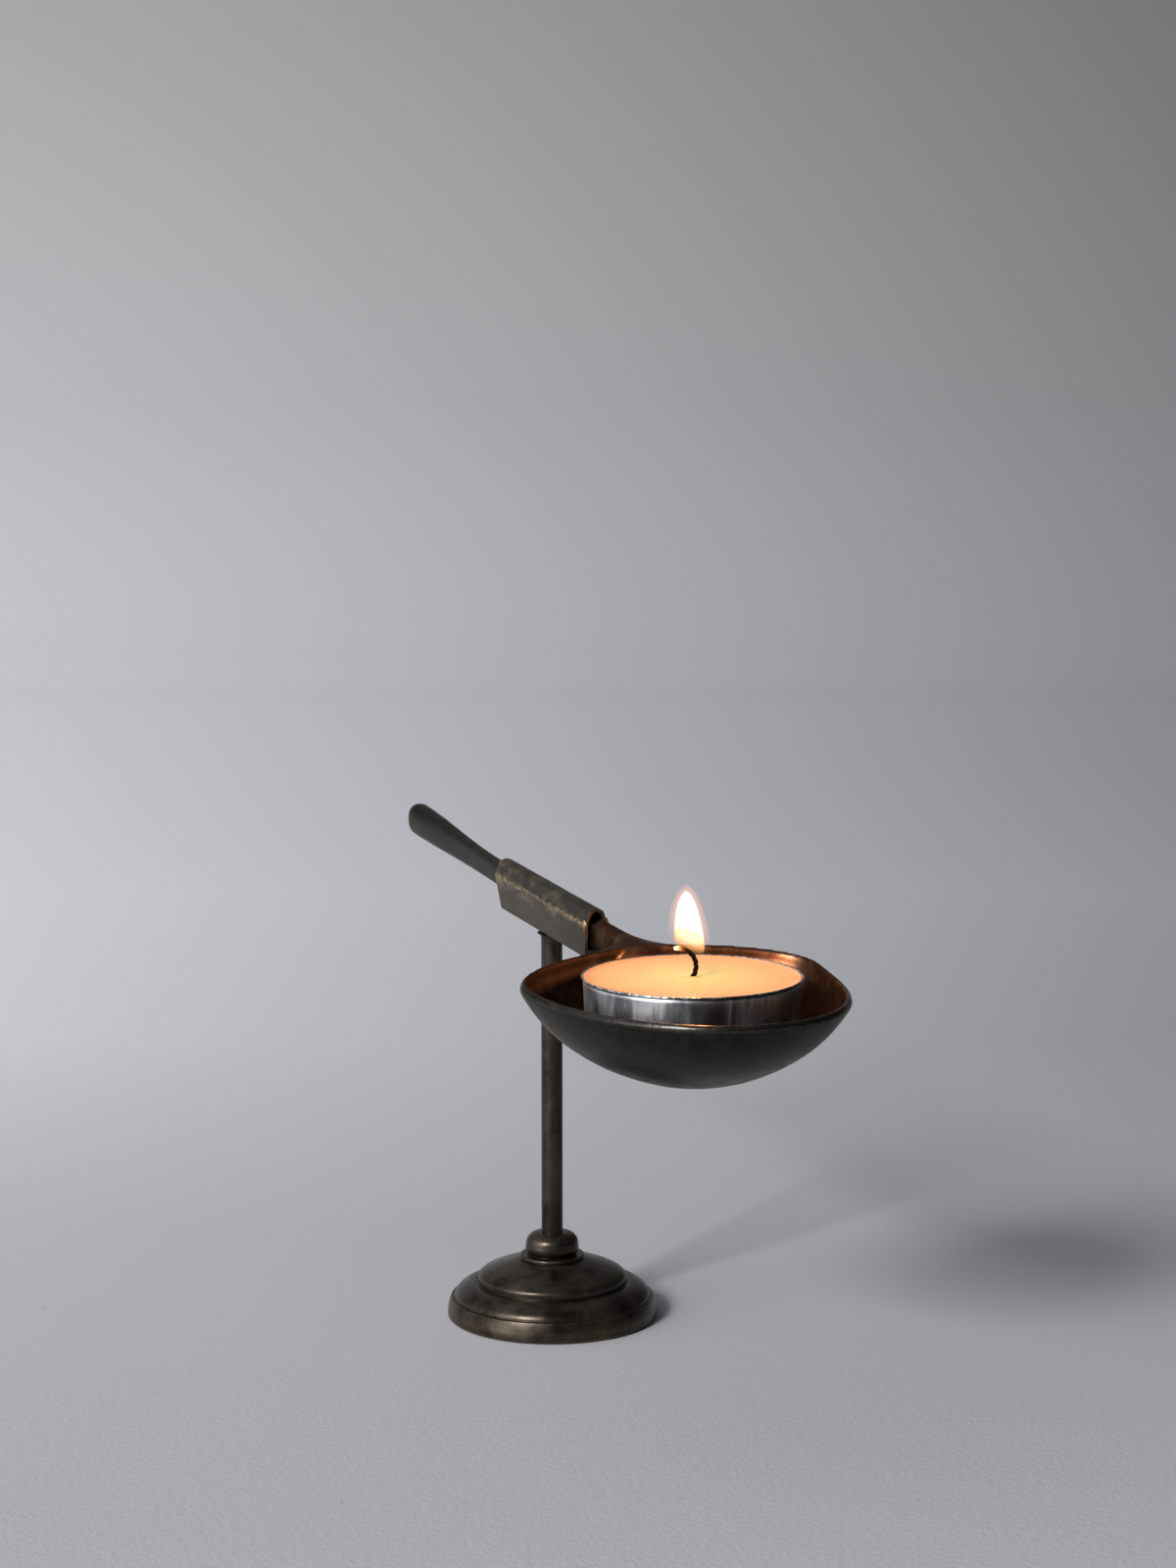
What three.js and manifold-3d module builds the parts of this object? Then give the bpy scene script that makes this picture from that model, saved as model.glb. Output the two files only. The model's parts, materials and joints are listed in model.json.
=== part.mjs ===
import * as THREE from 'three';
import { mergeVertices } from 'three/addons/utils/BufferGeometryUtils.js';
import Module from 'manifold-3d';

const wasm = await Module();
wasm.setup();

// A small brass candle stand: a turned foot, a round post, a folded sleeve across the
// post's top, and a long-handled ladle whose handle slips through the sleeve. The ladle's
// bowl carries a tealight.
// Millimetres, +Z up, origin at the middle of the foot's underside. The bowl lies towards -Y.

const slipGap = 0.3; // air between pieces that rest on, or slip into, each other
const roundFacets = 56; // facets round the foot, the cup and the wax
const rodFacets = 32; // facets round the post
const curveSteps = 5; // straight steps in each curve of a profile
const cutterSpare = 1; // cutters reach this far past the metal

// Foot, turned from solid
const footRadius = 19.8;
const footEdgeBreak = 0.4; // chamfer that meets the table
const bandHeight = 3.9; // upright band at the foot's edge
const bandRound = 0.7;
const grooveDepth = 0.6; // ledge between band and wave, and under the dome
const waveRadius = 14.6; // where the wave ends and the dome's step begins
const waveHeight = 2.8;
const waveFullness = 0.5; // share of the wave's height over which it starts upright
const domeStep = 0.9;
const domeHeight = 3.7;
const domeFullness = 0.35;
const collarRadius = 5.9; // small ring at the top of the dome
const collarHeight = 0.7;
const collarBulge = 0.5;
const neckRadius = 4.4;
const knobRadius = 4.95;
const knobBulge = 0.3;
const knobHeight = 4.2;
const knobTopRadius = 2.7;

// Post, a round rod with a tenon below and a flared end brazed under the sleeve
const postRadius = 2;
const postLength = 57.5; // from the knob's top to the sleeve's underside
const tenonRadius = 1.5;
const tenonLength = 8;
const flareRadius = 2.7;
const flareHeight = 1.6;

// Ladle handle, one forging with the bowl
const handleWidth = 2.3;
const handleDepth = 4.6;
const handleReach = 93; // from the sleeve's mouth to the handle's end
const gripRun = 43; // length over which the end swells
const gripWidth = 4.6;
const gripRise = 1.2; // the end's top swells upwards more than its foot drops
const gripDrop = 0.6;
const gripRound = 4; // length of the rounded end
const neckLength = 18; // from the sleeve's mouth to the bowl's rim
const neckRise = 1.6; // rounds the neck's top up in front of the mouth, fading to the rim
const flareStart = 3; // the handle stays straight this far in front of the mouth
const neckTopHalf = 8.5; // half widths of the neck where it meets the rim
const neckFootHalf = 12.5;
const neckThickness = 1.7;
const neckBite = 1.3; // how many walls' thickness the neck runs into the bowl
const rimLift = 1.3; // the rim's handle end stands this far above the handle's top edge

// Sleeve, sheet folded round the handle
const sleeveWall = 0.6;
const sleeveFloor = 1.4; // two laps of the sheet, brazed together
const sleeveSideGap = 0.45; // beside the handle, each side
const sleeveFront = 20.5; // from the post's axis to the mouth
const sleeveBack = 23;
const sleeveTilt = THREE.MathUtils.degToRad(3.45); // mouth lower than the back
const rockPlay = 1.35; // spare height that lets the handle tip up at the back
const bevelRun = 0.85; // folded bevel along both upper edges
const bevelRise = 2.55;
const roofClearance = 0.9; // from the handle's raised top edge to the fold above the bevels
const crownRise = 0.45;
const sleeveCornerBreak = 0.4;
const backCutRun = 3.6; // slanted cut under the back end
const backCutRise = 4.4;

// Bowl, egg-shaped in plan and narrower away from the handle
const bowlLength = 55;
const bowlHalfWidth = 28.5;
const bowlWidestAt = 14.8; // from the rim's handle end
const rimBackFullness = 0.4; // weights that shape the rim's curves at the handle end and the tip
const rimBackReach = 0.46;
const rimTipReach = 0.3;
const rimTipFullness = 0.76;
const bowlDepth = 21;
const bowlLowestAt = 19.2;
const bowlWall = 0.95;
const bowlArcRatio = 1.12; // radius of the section's arc over its half width
const lipRise = 0.35;
const rimDip = 4.1; // the rim falls this far from its handle end
const rimDipRun = 30;
const tipRise = 0.15;
const bowlFacets = 72;
const bowlRings = 13;

// Tealight
const cupRimRadius = 19;
const cupTopRadius = 18.7;
const cupFootRadius = 18.2;
const cupFootRound = 0.8;
const cupHeight = 10.55;
const cupWall = 0.35;
const candleSetback = 25.7; // from the rim's handle end
const candleOffset = -1.4; // the candle stands a little to one side of the bowl's middle
const waxDrop = 0.6; // wax below the cup's rim
const waxMeniscus = 0.3; // the wax climbs the cup's wall
const meniscusRun = 3;
const wickRadius = 0.45;
const wickStand = 5.2; // above the wax
const wickCurl = 3.3; // how far the burnt end leans over
const wickBow = 0.7; // how far it bows the other way first
const wickHeading = THREE.MathUtils.degToRad(-23.5);
const tabRadius = 6;
const tabThickness = 0.3;
const tabNeckWall = 0.4;
const tabNeckHeight = 2.6;
const tabFillet = 0.6;

// Heights up the foot, from the table
const waveTop = bandHeight + waveHeight;
const domeFoot = waveTop + domeStep;
const collarFoot = domeFoot + domeHeight;
const collarTop = collarFoot + collarHeight;
const knobTop = collarTop + knobHeight;

const cupRoll = 2 * (cupRimRadius - cupTopRadius); // height of the rolled rim

// Sizes of the sleeve that follow from the handle
const sleeveWidth = handleWidth + 2 * (sleeveSideGap + sleeveWall);
const sleeveLength = sleeveFront + sleeveBack;
const sleeveShoulder = sleeveFloor + slipGap + handleDepth + rockPlay + roofClearance;
const handleRock = Math.asin(rockPlay / sleeveLength); // handle's angle inside the sleeve
const bowlSet = sleeveTilt + handleRock; // sets the bowl level

// Turns a geometry into a solid, with its faces pointing out
function toSolid(geometry) {
  const bare = geometry.clone();
  bare.deleteAttribute('normal');
  bare.deleteAttribute('uv');
  const merged = mergeVertices(bare, 1e-5);
  const positions = Float32Array.from(merged.attributes.position.array);
  const corners = merged.index.array;
  const at = (i) => new THREE.Vector3().fromArray(positions, 3 * i);
  const faces = [];
  let volume = 0;
  for (let i = 0; i < corners.length; i += 3) {
    const [a, b, c] = [corners[i], corners[i + 1], corners[i + 2]];
    if (a === b || b === c || c === a) continue;
    faces.push([a, b, c]);
    volume += at(a).dot(at(b).cross(at(c)));
  }
  const outward = volume > 0 ? faces : faces.map(([a, b, c]) => [a, c, b]);
  const triVerts = Uint32Array.from(outward.flat());
  return new wasm.Manifold(new wasm.Mesh({ numProp: 3, vertProperties: positions, triVerts }));
}

function toGeometry(solid) {
  const mesh = solid.getMesh();
  const geometry = new THREE.BufferGeometry();
  geometry.setAttribute('position', new THREE.BufferAttribute(mesh.vertProperties, 3));
  geometry.setIndex(new THREE.BufferAttribute(mesh.triVerts, 1));
  geometry.computeVertexNormals();
  return geometry;
}

// Revolves a profile of radius and height about Z
function turned(profile, facets) {
  return new THREE.LatheGeometry(profile, facets).rotateX(Math.PI / 2);
}

// Skins a row of rings that all have the same number of points, and closes both ends
function loft(rings) {
  const count = rings[0].length;
  const middle = (ring) => ring.reduce((sum, p) => sum.add(p), new THREE.Vector3()).divideScalar(count);
  const points = [...rings.flat(), middle(rings[0]), middle(rings.at(-1))];
  const first = points.length - 2;
  const last = points.length - 1;
  const faces = [];
  for (let i = 0; i < count; i++) {
    const j = (i + 1) % count;
    for (let r = 0; r < rings.length - 1; r++) {
      const below = r * count;
      const above = below + count;
      faces.push(below + i, below + j, above + j, below + i, above + j, above + i);
    }
    const top = (rings.length - 1) * count;
    faces.push(first, j, i, last, top + i, top + j);
  }
  const geometry = new THREE.BufferGeometry().setFromPoints(points);
  geometry.setIndex(faces);
  return geometry;
}

// Straight prism along Y, from an outline drawn in X and Z, reaching from y = 0 to y = -length
function prismAlongY(shape, length) {
  const options = { depth: length, bevelEnabled: false };
  return new THREE.ExtrudeGeometry(shape, options).rotateX(Math.PI / 2);
}

const smooth = (t) => t * t * (3 - 2 * t);
const mix = THREE.MathUtils.lerp;

function footGeometry() {
  const profile = new THREE.Path();
  const boreRadius = tenonRadius + slipGap;
  const boreFloor = knobTop - tenonLength - slipGap;
  const grooveRadius = footRadius - bandRound - grooveDepth;
  const domeEdge = waveRadius - grooveDepth;
  const knobMiddle = mix(collarTop, knobTop, 0.45);
  const collarMiddle = mix(collarFoot, collarTop, 0.5);
  profile.moveTo(0, 0);
  profile.lineTo(footRadius - footEdgeBreak, 0);
  profile.lineTo(footRadius, footEdgeBreak);
  profile.lineTo(footRadius, bandHeight - bandRound);
  profile.quadraticCurveTo(footRadius, bandHeight, footRadius - bandRound, bandHeight);
  profile.lineTo(grooveRadius, bandHeight);
  profile.bezierCurveTo(
    grooveRadius, bandHeight + waveFullness * waveHeight,
    mix(waveRadius, grooveRadius, 0.4), waveTop,
    waveRadius, waveTop);
  profile.lineTo(domeEdge, waveTop);
  profile.lineTo(domeEdge, domeFoot);
  profile.bezierCurveTo(
    domeEdge, domeFoot + domeFullness * domeHeight,
    mix(collarRadius, domeEdge, 0.5), collarFoot - domeFullness * domeHeight,
    collarRadius, collarFoot);
  profile.quadraticCurveTo(collarRadius + collarBulge, collarMiddle, collarRadius, collarTop);
  profile.lineTo(neckRadius, collarTop);
  profile.quadraticCurveTo(knobRadius + knobBulge, mix(collarTop, knobTop, 0.2), knobRadius, knobMiddle);
  profile.quadraticCurveTo(knobRadius, mix(knobMiddle, knobTop, 0.85), knobTopRadius, knobTop);
  profile.lineTo(boreRadius, knobTop);
  profile.lineTo(boreRadius, boreFloor);
  profile.lineTo(0, boreFloor);
  return toGeometry(toSolid(turned(profile.getPoints(curveSteps), roundFacets)));
}

// Rod cut off along the sleeve's sloping underside
function postGeometry() {
  const top = knobTop + postLength;
  const spare = 2 * flareRadius * Math.tan(sleeveTilt);
  const profile = new THREE.Path();
  profile.moveTo(0, knobTop - tenonLength);
  profile.lineTo(tenonRadius, knobTop - tenonLength);
  profile.lineTo(tenonRadius, knobTop);
  profile.lineTo(postRadius, knobTop);
  profile.lineTo(postRadius, top - flareHeight);
  profile.quadraticCurveTo(postRadius, top - 0.2 * flareHeight, flareRadius, top);
  profile.lineTo(flareRadius, top + spare);
  profile.lineTo(0, top + spare);
  const rod = toSolid(turned(profile.getPoints(curveSteps), rodFacets));
  const cutter = new THREE.BoxGeometry(4 * flareRadius, 4 * flareRadius, 4 * flareRadius)
    .translate(0, 0, 2 * flareRadius)
    .rotateX(sleeveTilt)
    .translate(0, 0, top - slipGap);
  return toGeometry(rod.subtract(toSolid(cutter)));
}

// Moves every corner of a closed outline inwards by the same distance from its sides
function insetOutline(corners, distance) {
  return corners.map((corner, i) => {
    const before = corners[(i + corners.length - 1) % corners.length];
    const after = corners[(i + 1) % corners.length];
    const along = corner.clone().sub(before).normalize();
    const onward = after.clone().sub(corner).normalize();
    const bisector = new THREE.Vector2(-along.y - onward.y, along.x + onward.x).normalize();
    const reach = distance / (bisector.x * -along.y + bisector.y * along.x);
    return corner.clone().addScaledVector(bisector, reach);
  });
}

// Outline of the folded sheet, anticlockwise: flat floor, upright sides, bevels and crown
function sleeveCorners() {
  const half = sleeveWidth / 2;
  const shoulderHalf = half - bevelRun;
  const eave = sleeveShoulder - bevelRise;
  const crown = new THREE.QuadraticBezierCurve(
    new THREE.Vector2(shoulderHalf, sleeveShoulder),
    new THREE.Vector2(0, sleeveShoulder + 2 * crownRise),
    new THREE.Vector2(-shoulderHalf, sleeveShoulder)).getPoints(6);
  return [
    new THREE.Vector2(-half, 0), new THREE.Vector2(half, 0), new THREE.Vector2(half, eave),
    ...crown, new THREE.Vector2(-half, eave)];
}

function sleeveGeometry() {
  const corners = sleeveCorners();
  const [left, right, ...upper] = corners;
  const shape = new THREE.Shape([
    new THREE.Vector2(left.x, sleeveCornerBreak), new THREE.Vector2(left.x + sleeveCornerBreak, 0),
    new THREE.Vector2(right.x - sleeveCornerBreak, 0), new THREE.Vector2(right.x, sleeveCornerBreak),
    ...upper]);
  const slot = insetOutline(corners, sleeveWall);
  slot[0].y = sleeveFloor;
  slot[1].y = sleeveFloor;
  shape.holes.push(new THREE.Path(slot.reverse()));
  const tube = prismAlongY(shape, sleeveLength).translate(0, sleeveBack, 0);
  const wedge = new THREE.Shape();
  wedge.moveTo(sleeveBack - backCutRun, -cutterSpare);
  wedge.lineTo(sleeveBack + cutterSpare, -cutterSpare);
  wedge.lineTo(sleeveBack + cutterSpare, backCutRise);
  wedge.lineTo(sleeveBack, backCutRise);
  wedge.lineTo(sleeveBack - backCutRun, 0);
  const cutter = new THREE.ExtrudeGeometry(wedge, { depth: 2 * sleeveWidth, bevelEnabled: false })
    .rotateX(Math.PI / 2)
    .rotateZ(Math.PI / 2)
    .translate(-sleeveWidth, 0, 0);
  return toGeometry(toSolid(tube).subtract(toSolid(cutter)));
}

// One cross-section of the handle: a rounded bar whose top and foot may differ in width
function handleRing(y, topHalf, footHalf, foot, top, squareness) {
  const ring = [];
  const facets = 28;
  const power = 2 / squareness;
  for (let i = 0; i < facets; i++) {
    const angle = (2 * Math.PI * i) / facets;
    const across = Math.sign(Math.cos(angle)) * Math.abs(Math.cos(angle)) ** power;
    const up = (1 + Math.sign(Math.sin(angle)) * Math.abs(Math.sin(angle)) ** power) / 2;
    ring.push(new THREE.Vector3(across * mix(footHalf, topHalf, up), y, mix(foot, top, up)));
  }
  return ring;
}

// Handle from its rounded end, through the sleeve, to the neck that spreads into the bowl.
// Its own frame: y = 0 at the sleeve's mouth, z = 0 at its underside.
function handleGeometry() {
  const barSquareness = 3.8;
  const endSquareness = 2.4;
  const half = handleWidth / 2;
  const gripMiddle = (handleDepth + gripRise - gripDrop) / 2;
  const gripHalf = (handleDepth + gripRise + gripDrop) / 2;
  const rings = [];
  const endSteps = 5;
  const endTurn = THREE.MathUtils.degToRad(80); // short of square, so a small flat closes the end
  const roundStart = handleReach - gripRound;
  for (let i = endSteps; i > 0; i--) {
    const turn = endTurn * (i / endSteps);
    const shrink = Math.cos(turn);
    rings.push(handleRing(
      roundStart + gripRound * Math.sin(turn), shrink * gripWidth / 2, shrink * gripWidth / 2,
      gripMiddle - shrink * gripHalf, gripMiddle + shrink * gripHalf, endSquareness));
  }
  const gripSteps = 7;
  for (let i = 0; i <= gripSteps; i++) {
    const swell = smooth(1 - i / gripSteps);
    const width = mix(handleWidth, gripWidth, swell ** 2) / 2;
    const y = roundStart - (gripRun - gripRound) * (i / gripSteps);
    rings.push(handleRing(
      y, width, width, -gripDrop * swell, handleDepth + gripRise * swell,
      mix(barSquareness, endSquareness, swell)));
  }
  const neckSteps = 10;
  const neckEnd = neckLength + neckBite * bowlWall;
  for (let i = 0; i <= neckSteps; i++) {
    const t = i / neckSteps;
    const y = -mix(flareStart, neckEnd, t);
    rings.push(handleRing(
      y, mix(half, neckTopHalf, t ** 3), mix(half, neckFootHalf, t ** 2.2),
      mix(0, handleDepth + rimLift - neckThickness, smooth(t)),
      handleDepth + rimLift * t ** 2 + neckRise * (1 - t) * Math.sin(Math.PI * t),
      mix(barSquareness, 3, t)));
  }
  return loft(rings);
}

// Half of the bowl's rim in plan, as distance from the handle end and half width
function rimOutline() {
  const back = new THREE.CubicBezierCurve(
    new THREE.Vector2(0, 0), new THREE.Vector2(0, rimBackFullness * bowlHalfWidth),
    new THREE.Vector2(rimBackReach * bowlWidestAt, bowlHalfWidth),
    new THREE.Vector2(bowlWidestAt, bowlHalfWidth));
  const tip = new THREE.CubicBezierCurve(
    new THREE.Vector2(bowlWidestAt, bowlHalfWidth),
    new THREE.Vector2(mix(bowlWidestAt, bowlLength, rimTipReach), bowlHalfWidth),
    new THREE.Vector2(bowlLength, rimTipFullness * bowlHalfWidth), new THREE.Vector2(bowlLength, 0));
  const half = [...back.getPoints(bowlFacets / 4), ...tip.getPoints(bowlFacets / 4).slice(1)];
  const mirrored = half.slice(1, -1).reverse().map((p) => new THREE.Vector2(p.x, -p.y));
  return [...half, ...mirrored];
}

function rimHeight(distance) {
  const dip = 1 - (1 - Math.min(distance / rimDipRun, 1)) ** 2;
  const rise = Math.max(distance - bowlWidestAt, 0) / (bowlLength - bowlWidestAt);
  return tipRise * rise - rimDip * dip;
}

// Depth of the section's arc, from 0 at the lowest point to 1 at the rim
function arcDepth(reach) {
  const arc = (r) => bowlArcRatio - Math.sqrt(bowlArcRatio ** 2 - r ** 2);
  return arc(reach) / arc(1);
}

// One ring of the bowl's wall. The inset moves it inwards from the outer face.
function bowlRing(reach, inset, lift = 0) {
  return rimOutline().map((rim) => {
    const out = new THREE.Vector2(rim.x - bowlLowestAt, rim.y);
    out.setLength(out.length() - inset);
    const rimZ = rimHeight(rim.x);
    const z = mix(inset - bowlDepth, rimZ, arcDepth(reach)) + lift;
    return new THREE.Vector3(reach * out.y, -(bowlLowestAt + reach * out.x), z);
  });
}

function wallRings(inset) {
  const rings = [];
  for (let i = 1; i <= bowlRings; i++) {
    rings.push(bowlRing(Math.sin((Math.PI / 2) * (i / bowlRings)), inset));
  }
  return rings;
}

function bowlGeometry() {
  const lip = bowlRing(1, bowlWall / 2, lipRise);
  return loft([...wallRings(0), lip, ...wallRings(bowlWall).reverse()]);
}

// The room inside the bowl, carried on above its rim
function bowlRoomGeometry() {
  return loft([...wallRings(bowlWall), bowlRing(1, bowlWall, 2 * handleDepth)]);
}

// Placing of the bowl's frame, at the rim's handle end, in the handle's frame
const bowlPlace = new THREE.Matrix4()
  .makeRotationX(-bowlSet)
  .setPosition(0, -neckLength, handleDepth + rimLift);

function spoonGeometry() {
  const bowl = toSolid(bowlGeometry().applyMatrix4(bowlPlace));
  const room = toSolid(bowlRoomGeometry().applyMatrix4(bowlPlace));
  return toGeometry(toSolid(handleGeometry()).subtract(room).add(bowl));
}

// Highest point of the bowl's inside at this distance from the candle's axis
function seatAt(radius) {
  const rings = wallRings(bowlWall);
  const away = (p) => Math.hypot(p.x - candleOffset, p.y + candleSetback) - radius;
  let seat = -bowlDepth;
  for (let r = 0; r < rings.length - 1; r++) {
    rings[r].forEach((point, i) => {
      const beside = (i + 1) % bowlFacets;
      for (const next of [rings[r][beside], rings[r + 1][i], rings[r + 1][beside]]) {
        const [here, there] = [away(point), away(next)];
        if (here * there <= 0 && here !== there) {
          seat = Math.max(seat, mix(point.z, next.z, here / (here - there)));
        }
      }
    });
  }
  return seat;
}

// Outer outline of the cup's foot and side
function cupSide() {
  const side = new THREE.Path();
  side.moveTo(cupFootRadius - cupFootRound, 0);
  side.quadraticCurveTo(cupFootRadius, 0, cupFootRadius, cupFootRound);
  side.lineTo(cupTopRadius, cupHeight - cupRoll);
  return side.getPoints(4);
}

function cupGeometry() {
  const profile = new THREE.Path();
  profile.moveTo(0, 0);
  for (const corner of cupSide()) profile.lineTo(corner.x, corner.y);
  profile.quadraticCurveTo(
    2 * cupRimRadius - cupTopRadius, cupHeight - cupRoll / 2, cupTopRadius, cupHeight);
  profile.lineTo(cupTopRadius - cupWall, cupHeight);
  profile.lineTo(cupFootRadius - cupWall, cupWall + cupFootRound / 2);
  profile.lineTo(cupFootRadius - cupWall - cupFootRound / 2, cupWall);
  profile.lineTo(0, cupWall);
  return toGeometry(toSolid(turned(profile.getPoints(4), roundFacets)));
}

const tabFoot = cupWall + slipGap;
const tabBore = wickRadius + slipGap;
const tabNeckRadius = tabBore + tabNeckWall;
const tabNeckTop = tabFoot + tabThickness + tabNeckHeight;
const waxTop = cupHeight - waxDrop;

// Wax cast round the wick and its tab
function waxGeometry() {
  const footRadius = cupFootRadius - cupWall - slipGap - cupFootRound / 2;
  const topRadius = cupTopRadius - cupWall - slipGap;
  const waxFoot = cupWall + slipGap;
  const recess = tabRadius + slipGap;
  const recessTop = tabFoot + tabThickness + slipGap;
  const profile = [
    [recess, waxFoot], [footRadius, waxFoot], [footRadius + cupFootRound / 2, waxFoot + cupFootRound / 2],
    [topRadius, waxTop + waxMeniscus], [topRadius - meniscusRun / 3, waxTop + waxMeniscus / 4],
    [topRadius - meniscusRun, waxTop],
    [tabBore, waxTop], [tabBore, tabNeckTop + slipGap], [tabNeckRadius + slipGap, tabNeckTop + slipGap],
    [tabNeckRadius + slipGap, recessTop + tabFillet], [tabNeckRadius + slipGap + tabFillet, recessTop],
    [recess, recessTop], [recess, waxFoot],
  ].map(([r, z]) => new THREE.Vector2(r, z));
  return toGeometry(toSolid(turned(profile, roundFacets)));
}

// Pressed tin disc with a short tube that holds the wick upright
function wickTabGeometry() {
  const profile = [
    [tabBore, tabFoot], [tabRadius, tabFoot], [tabRadius, tabFoot + tabThickness],
    [tabNeckRadius + tabFillet, tabFoot + tabThickness],
    [tabNeckRadius, tabFoot + tabThickness + tabFillet],
    [tabNeckRadius, tabNeckTop], [tabBore, tabNeckTop], [tabBore, tabFoot],
  ].map(([r, z]) => new THREE.Vector2(r, z));
  return toGeometry(toSolid(turned(profile, rodFacets)));
}

// Braided wick: upright in the wax, then bowing over to one side
function wickGeometry() {
  const path = new THREE.CurvePath();
  const foot = new THREE.Vector3(0, 0, tabFoot);
  const bend = new THREE.Vector3(0, 0, waxTop);
  const tip = new THREE.Vector3(-wickCurl, 0, waxTop + wickStand);
  path.add(new THREE.LineCurve3(foot, bend));
  path.add(new THREE.CubicBezierCurve3(
    bend,
    new THREE.Vector3(wickBow, 0, waxTop + wickStand / 2),
    new THREE.Vector3(wickBow, 0, waxTop + wickStand),
    tip));
  const section = new THREE.Shape();
  section.absarc(0, 0, wickRadius, 0, 2 * Math.PI);
  const options = { steps: 26, extrudePath: path, bevelEnabled: false, curveSegments: 6 };
  return toGeometry(toSolid(new THREE.ExtrudeGeometry(section, options)));
}

function finish(color, roughness, metalness) {
  return new THREE.MeshStandardMaterial({ color, roughness, metalness });
}

function addPiece(parent, name, geometry, material) {
  const mesh = new THREE.Mesh(geometry, material);
  mesh.name = name;
  parent.add(mesh);
  return mesh;
}

const stand = new THREE.Group();
addPiece(stand, 'foot', footGeometry(), finish(0x5a4f45, 0.42, 0.9));
addPiece(stand, 'post', postGeometry(), finish(0x554a3e, 0.45, 0.9));

const sleeveFrame = new THREE.Group();
sleeveFrame.position.z = knobTop + postLength;
sleeveFrame.rotation.x = sleeveTilt;
stand.add(sleeveFrame);
addPiece(sleeveFrame, 'sleeve', sleeveGeometry(), finish(0x6b5f52, 0.5, 0.9));

// The handle lies on the sleeve's floor at the mouth and tips up under its roof at the back
const handleFrame = new THREE.Group();
handleFrame.position.set(0, -sleeveFront, sleeveFloor + slipGap);
handleFrame.rotation.x = handleRock;
sleeveFrame.add(handleFrame);
addPiece(handleFrame, 'ladle', spoonGeometry(), finish(0x3c3a37, 0.5, 0.85));

const bowlFrame = new THREE.Group();
bowlFrame.applyMatrix4(bowlPlace);
handleFrame.add(bowlFrame);

const cupSeat = slipGap + Math.max(...cupSide().map((corner) => seatAt(corner.x) - corner.y));
const candle = new THREE.Group();
candle.position.set(candleOffset, -candleSetback, cupSeat);
bowlFrame.add(candle);
addPiece(candle, 'candle_cup', cupGeometry(), finish(0xb9bbc0, 0.3, 1));
addPiece(candle, 'candle_wax', waxGeometry(), finish(0xf6ead2, 0.55, 0));
addPiece(candle, 'wick_tab', wickTabGeometry(), finish(0xb5b5b8, 0.4, 1));
addPiece(candle, 'wick', wickGeometry(), finish(0x2a2420, 0.9, 0)).rotation.z = wickHeading;

export default stand;
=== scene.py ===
import json
from math import asin, copysign, cos, exp, hypot, pi, radians, sin, sqrt, tan
import bmesh
import bpy
import numpy as np
from mathutils import Matrix, Vector, noise
from mathutils.geometry import interpolate_bezier

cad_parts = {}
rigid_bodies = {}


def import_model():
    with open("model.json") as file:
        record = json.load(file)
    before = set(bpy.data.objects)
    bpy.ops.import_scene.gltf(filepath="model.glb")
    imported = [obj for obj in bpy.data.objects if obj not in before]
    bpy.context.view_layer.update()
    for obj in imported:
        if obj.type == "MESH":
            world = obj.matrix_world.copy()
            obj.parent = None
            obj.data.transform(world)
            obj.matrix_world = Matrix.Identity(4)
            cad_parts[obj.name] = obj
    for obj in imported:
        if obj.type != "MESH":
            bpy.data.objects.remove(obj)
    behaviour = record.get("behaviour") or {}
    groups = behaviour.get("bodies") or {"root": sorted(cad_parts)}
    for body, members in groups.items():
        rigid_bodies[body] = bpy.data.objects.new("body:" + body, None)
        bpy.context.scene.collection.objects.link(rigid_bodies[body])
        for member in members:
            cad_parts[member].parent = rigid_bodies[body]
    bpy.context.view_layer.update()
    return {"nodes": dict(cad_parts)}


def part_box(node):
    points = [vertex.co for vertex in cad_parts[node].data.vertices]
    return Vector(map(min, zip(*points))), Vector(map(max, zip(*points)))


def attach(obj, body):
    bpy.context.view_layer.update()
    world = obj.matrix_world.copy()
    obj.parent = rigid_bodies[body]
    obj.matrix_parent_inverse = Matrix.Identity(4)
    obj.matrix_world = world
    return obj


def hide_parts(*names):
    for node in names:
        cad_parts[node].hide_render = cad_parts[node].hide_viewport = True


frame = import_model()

mm = 0.001  # pieces are drawn in millimetres, the scene is in metres
slipGap = 0.3  # air between pieces that slip into, or rest on, each other
viewTurn = -23.5  # degrees that the photograph's view is turned from looking along +Y

print("candle stand: frame loaded,", len(frame["nodes"]), "solids")


class Settings(dict):
    # a dictionary whose values can also be read as settings.width
    __getattr__ = dict.__getitem__


def between(a, b, t):
    return a + (b - a) * t


def steps(count, first=0):
    # the fractions up to 1 of so many steps
    return [i / count for i in range(first, count + 1)]


def eased(t):
    # 0 to 1 with a soft start and end
    t = max(0, min(1, t))
    return t * t * (3 - 2 * t)


def curveTo(path, first, second, end, count=12):
    # carries a profile on along a curve that two handles pull
    knots = [Vector((p[0], p[1], 0)) for p in (path[-1], first, second, end)]
    path += [(p.x, p.y) for p in interpolate_bezier(*knots, count + 1)[1:]]


def bendTo(path, pull, end, count=10):
    # the same with one handle
    start, pull, end = Vector(path[-1]), Vector(pull), Vector(end)
    curveTo(path, between(start, pull, 2 / 3), between(end, pull, 2 / 3), end, count)


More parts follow.
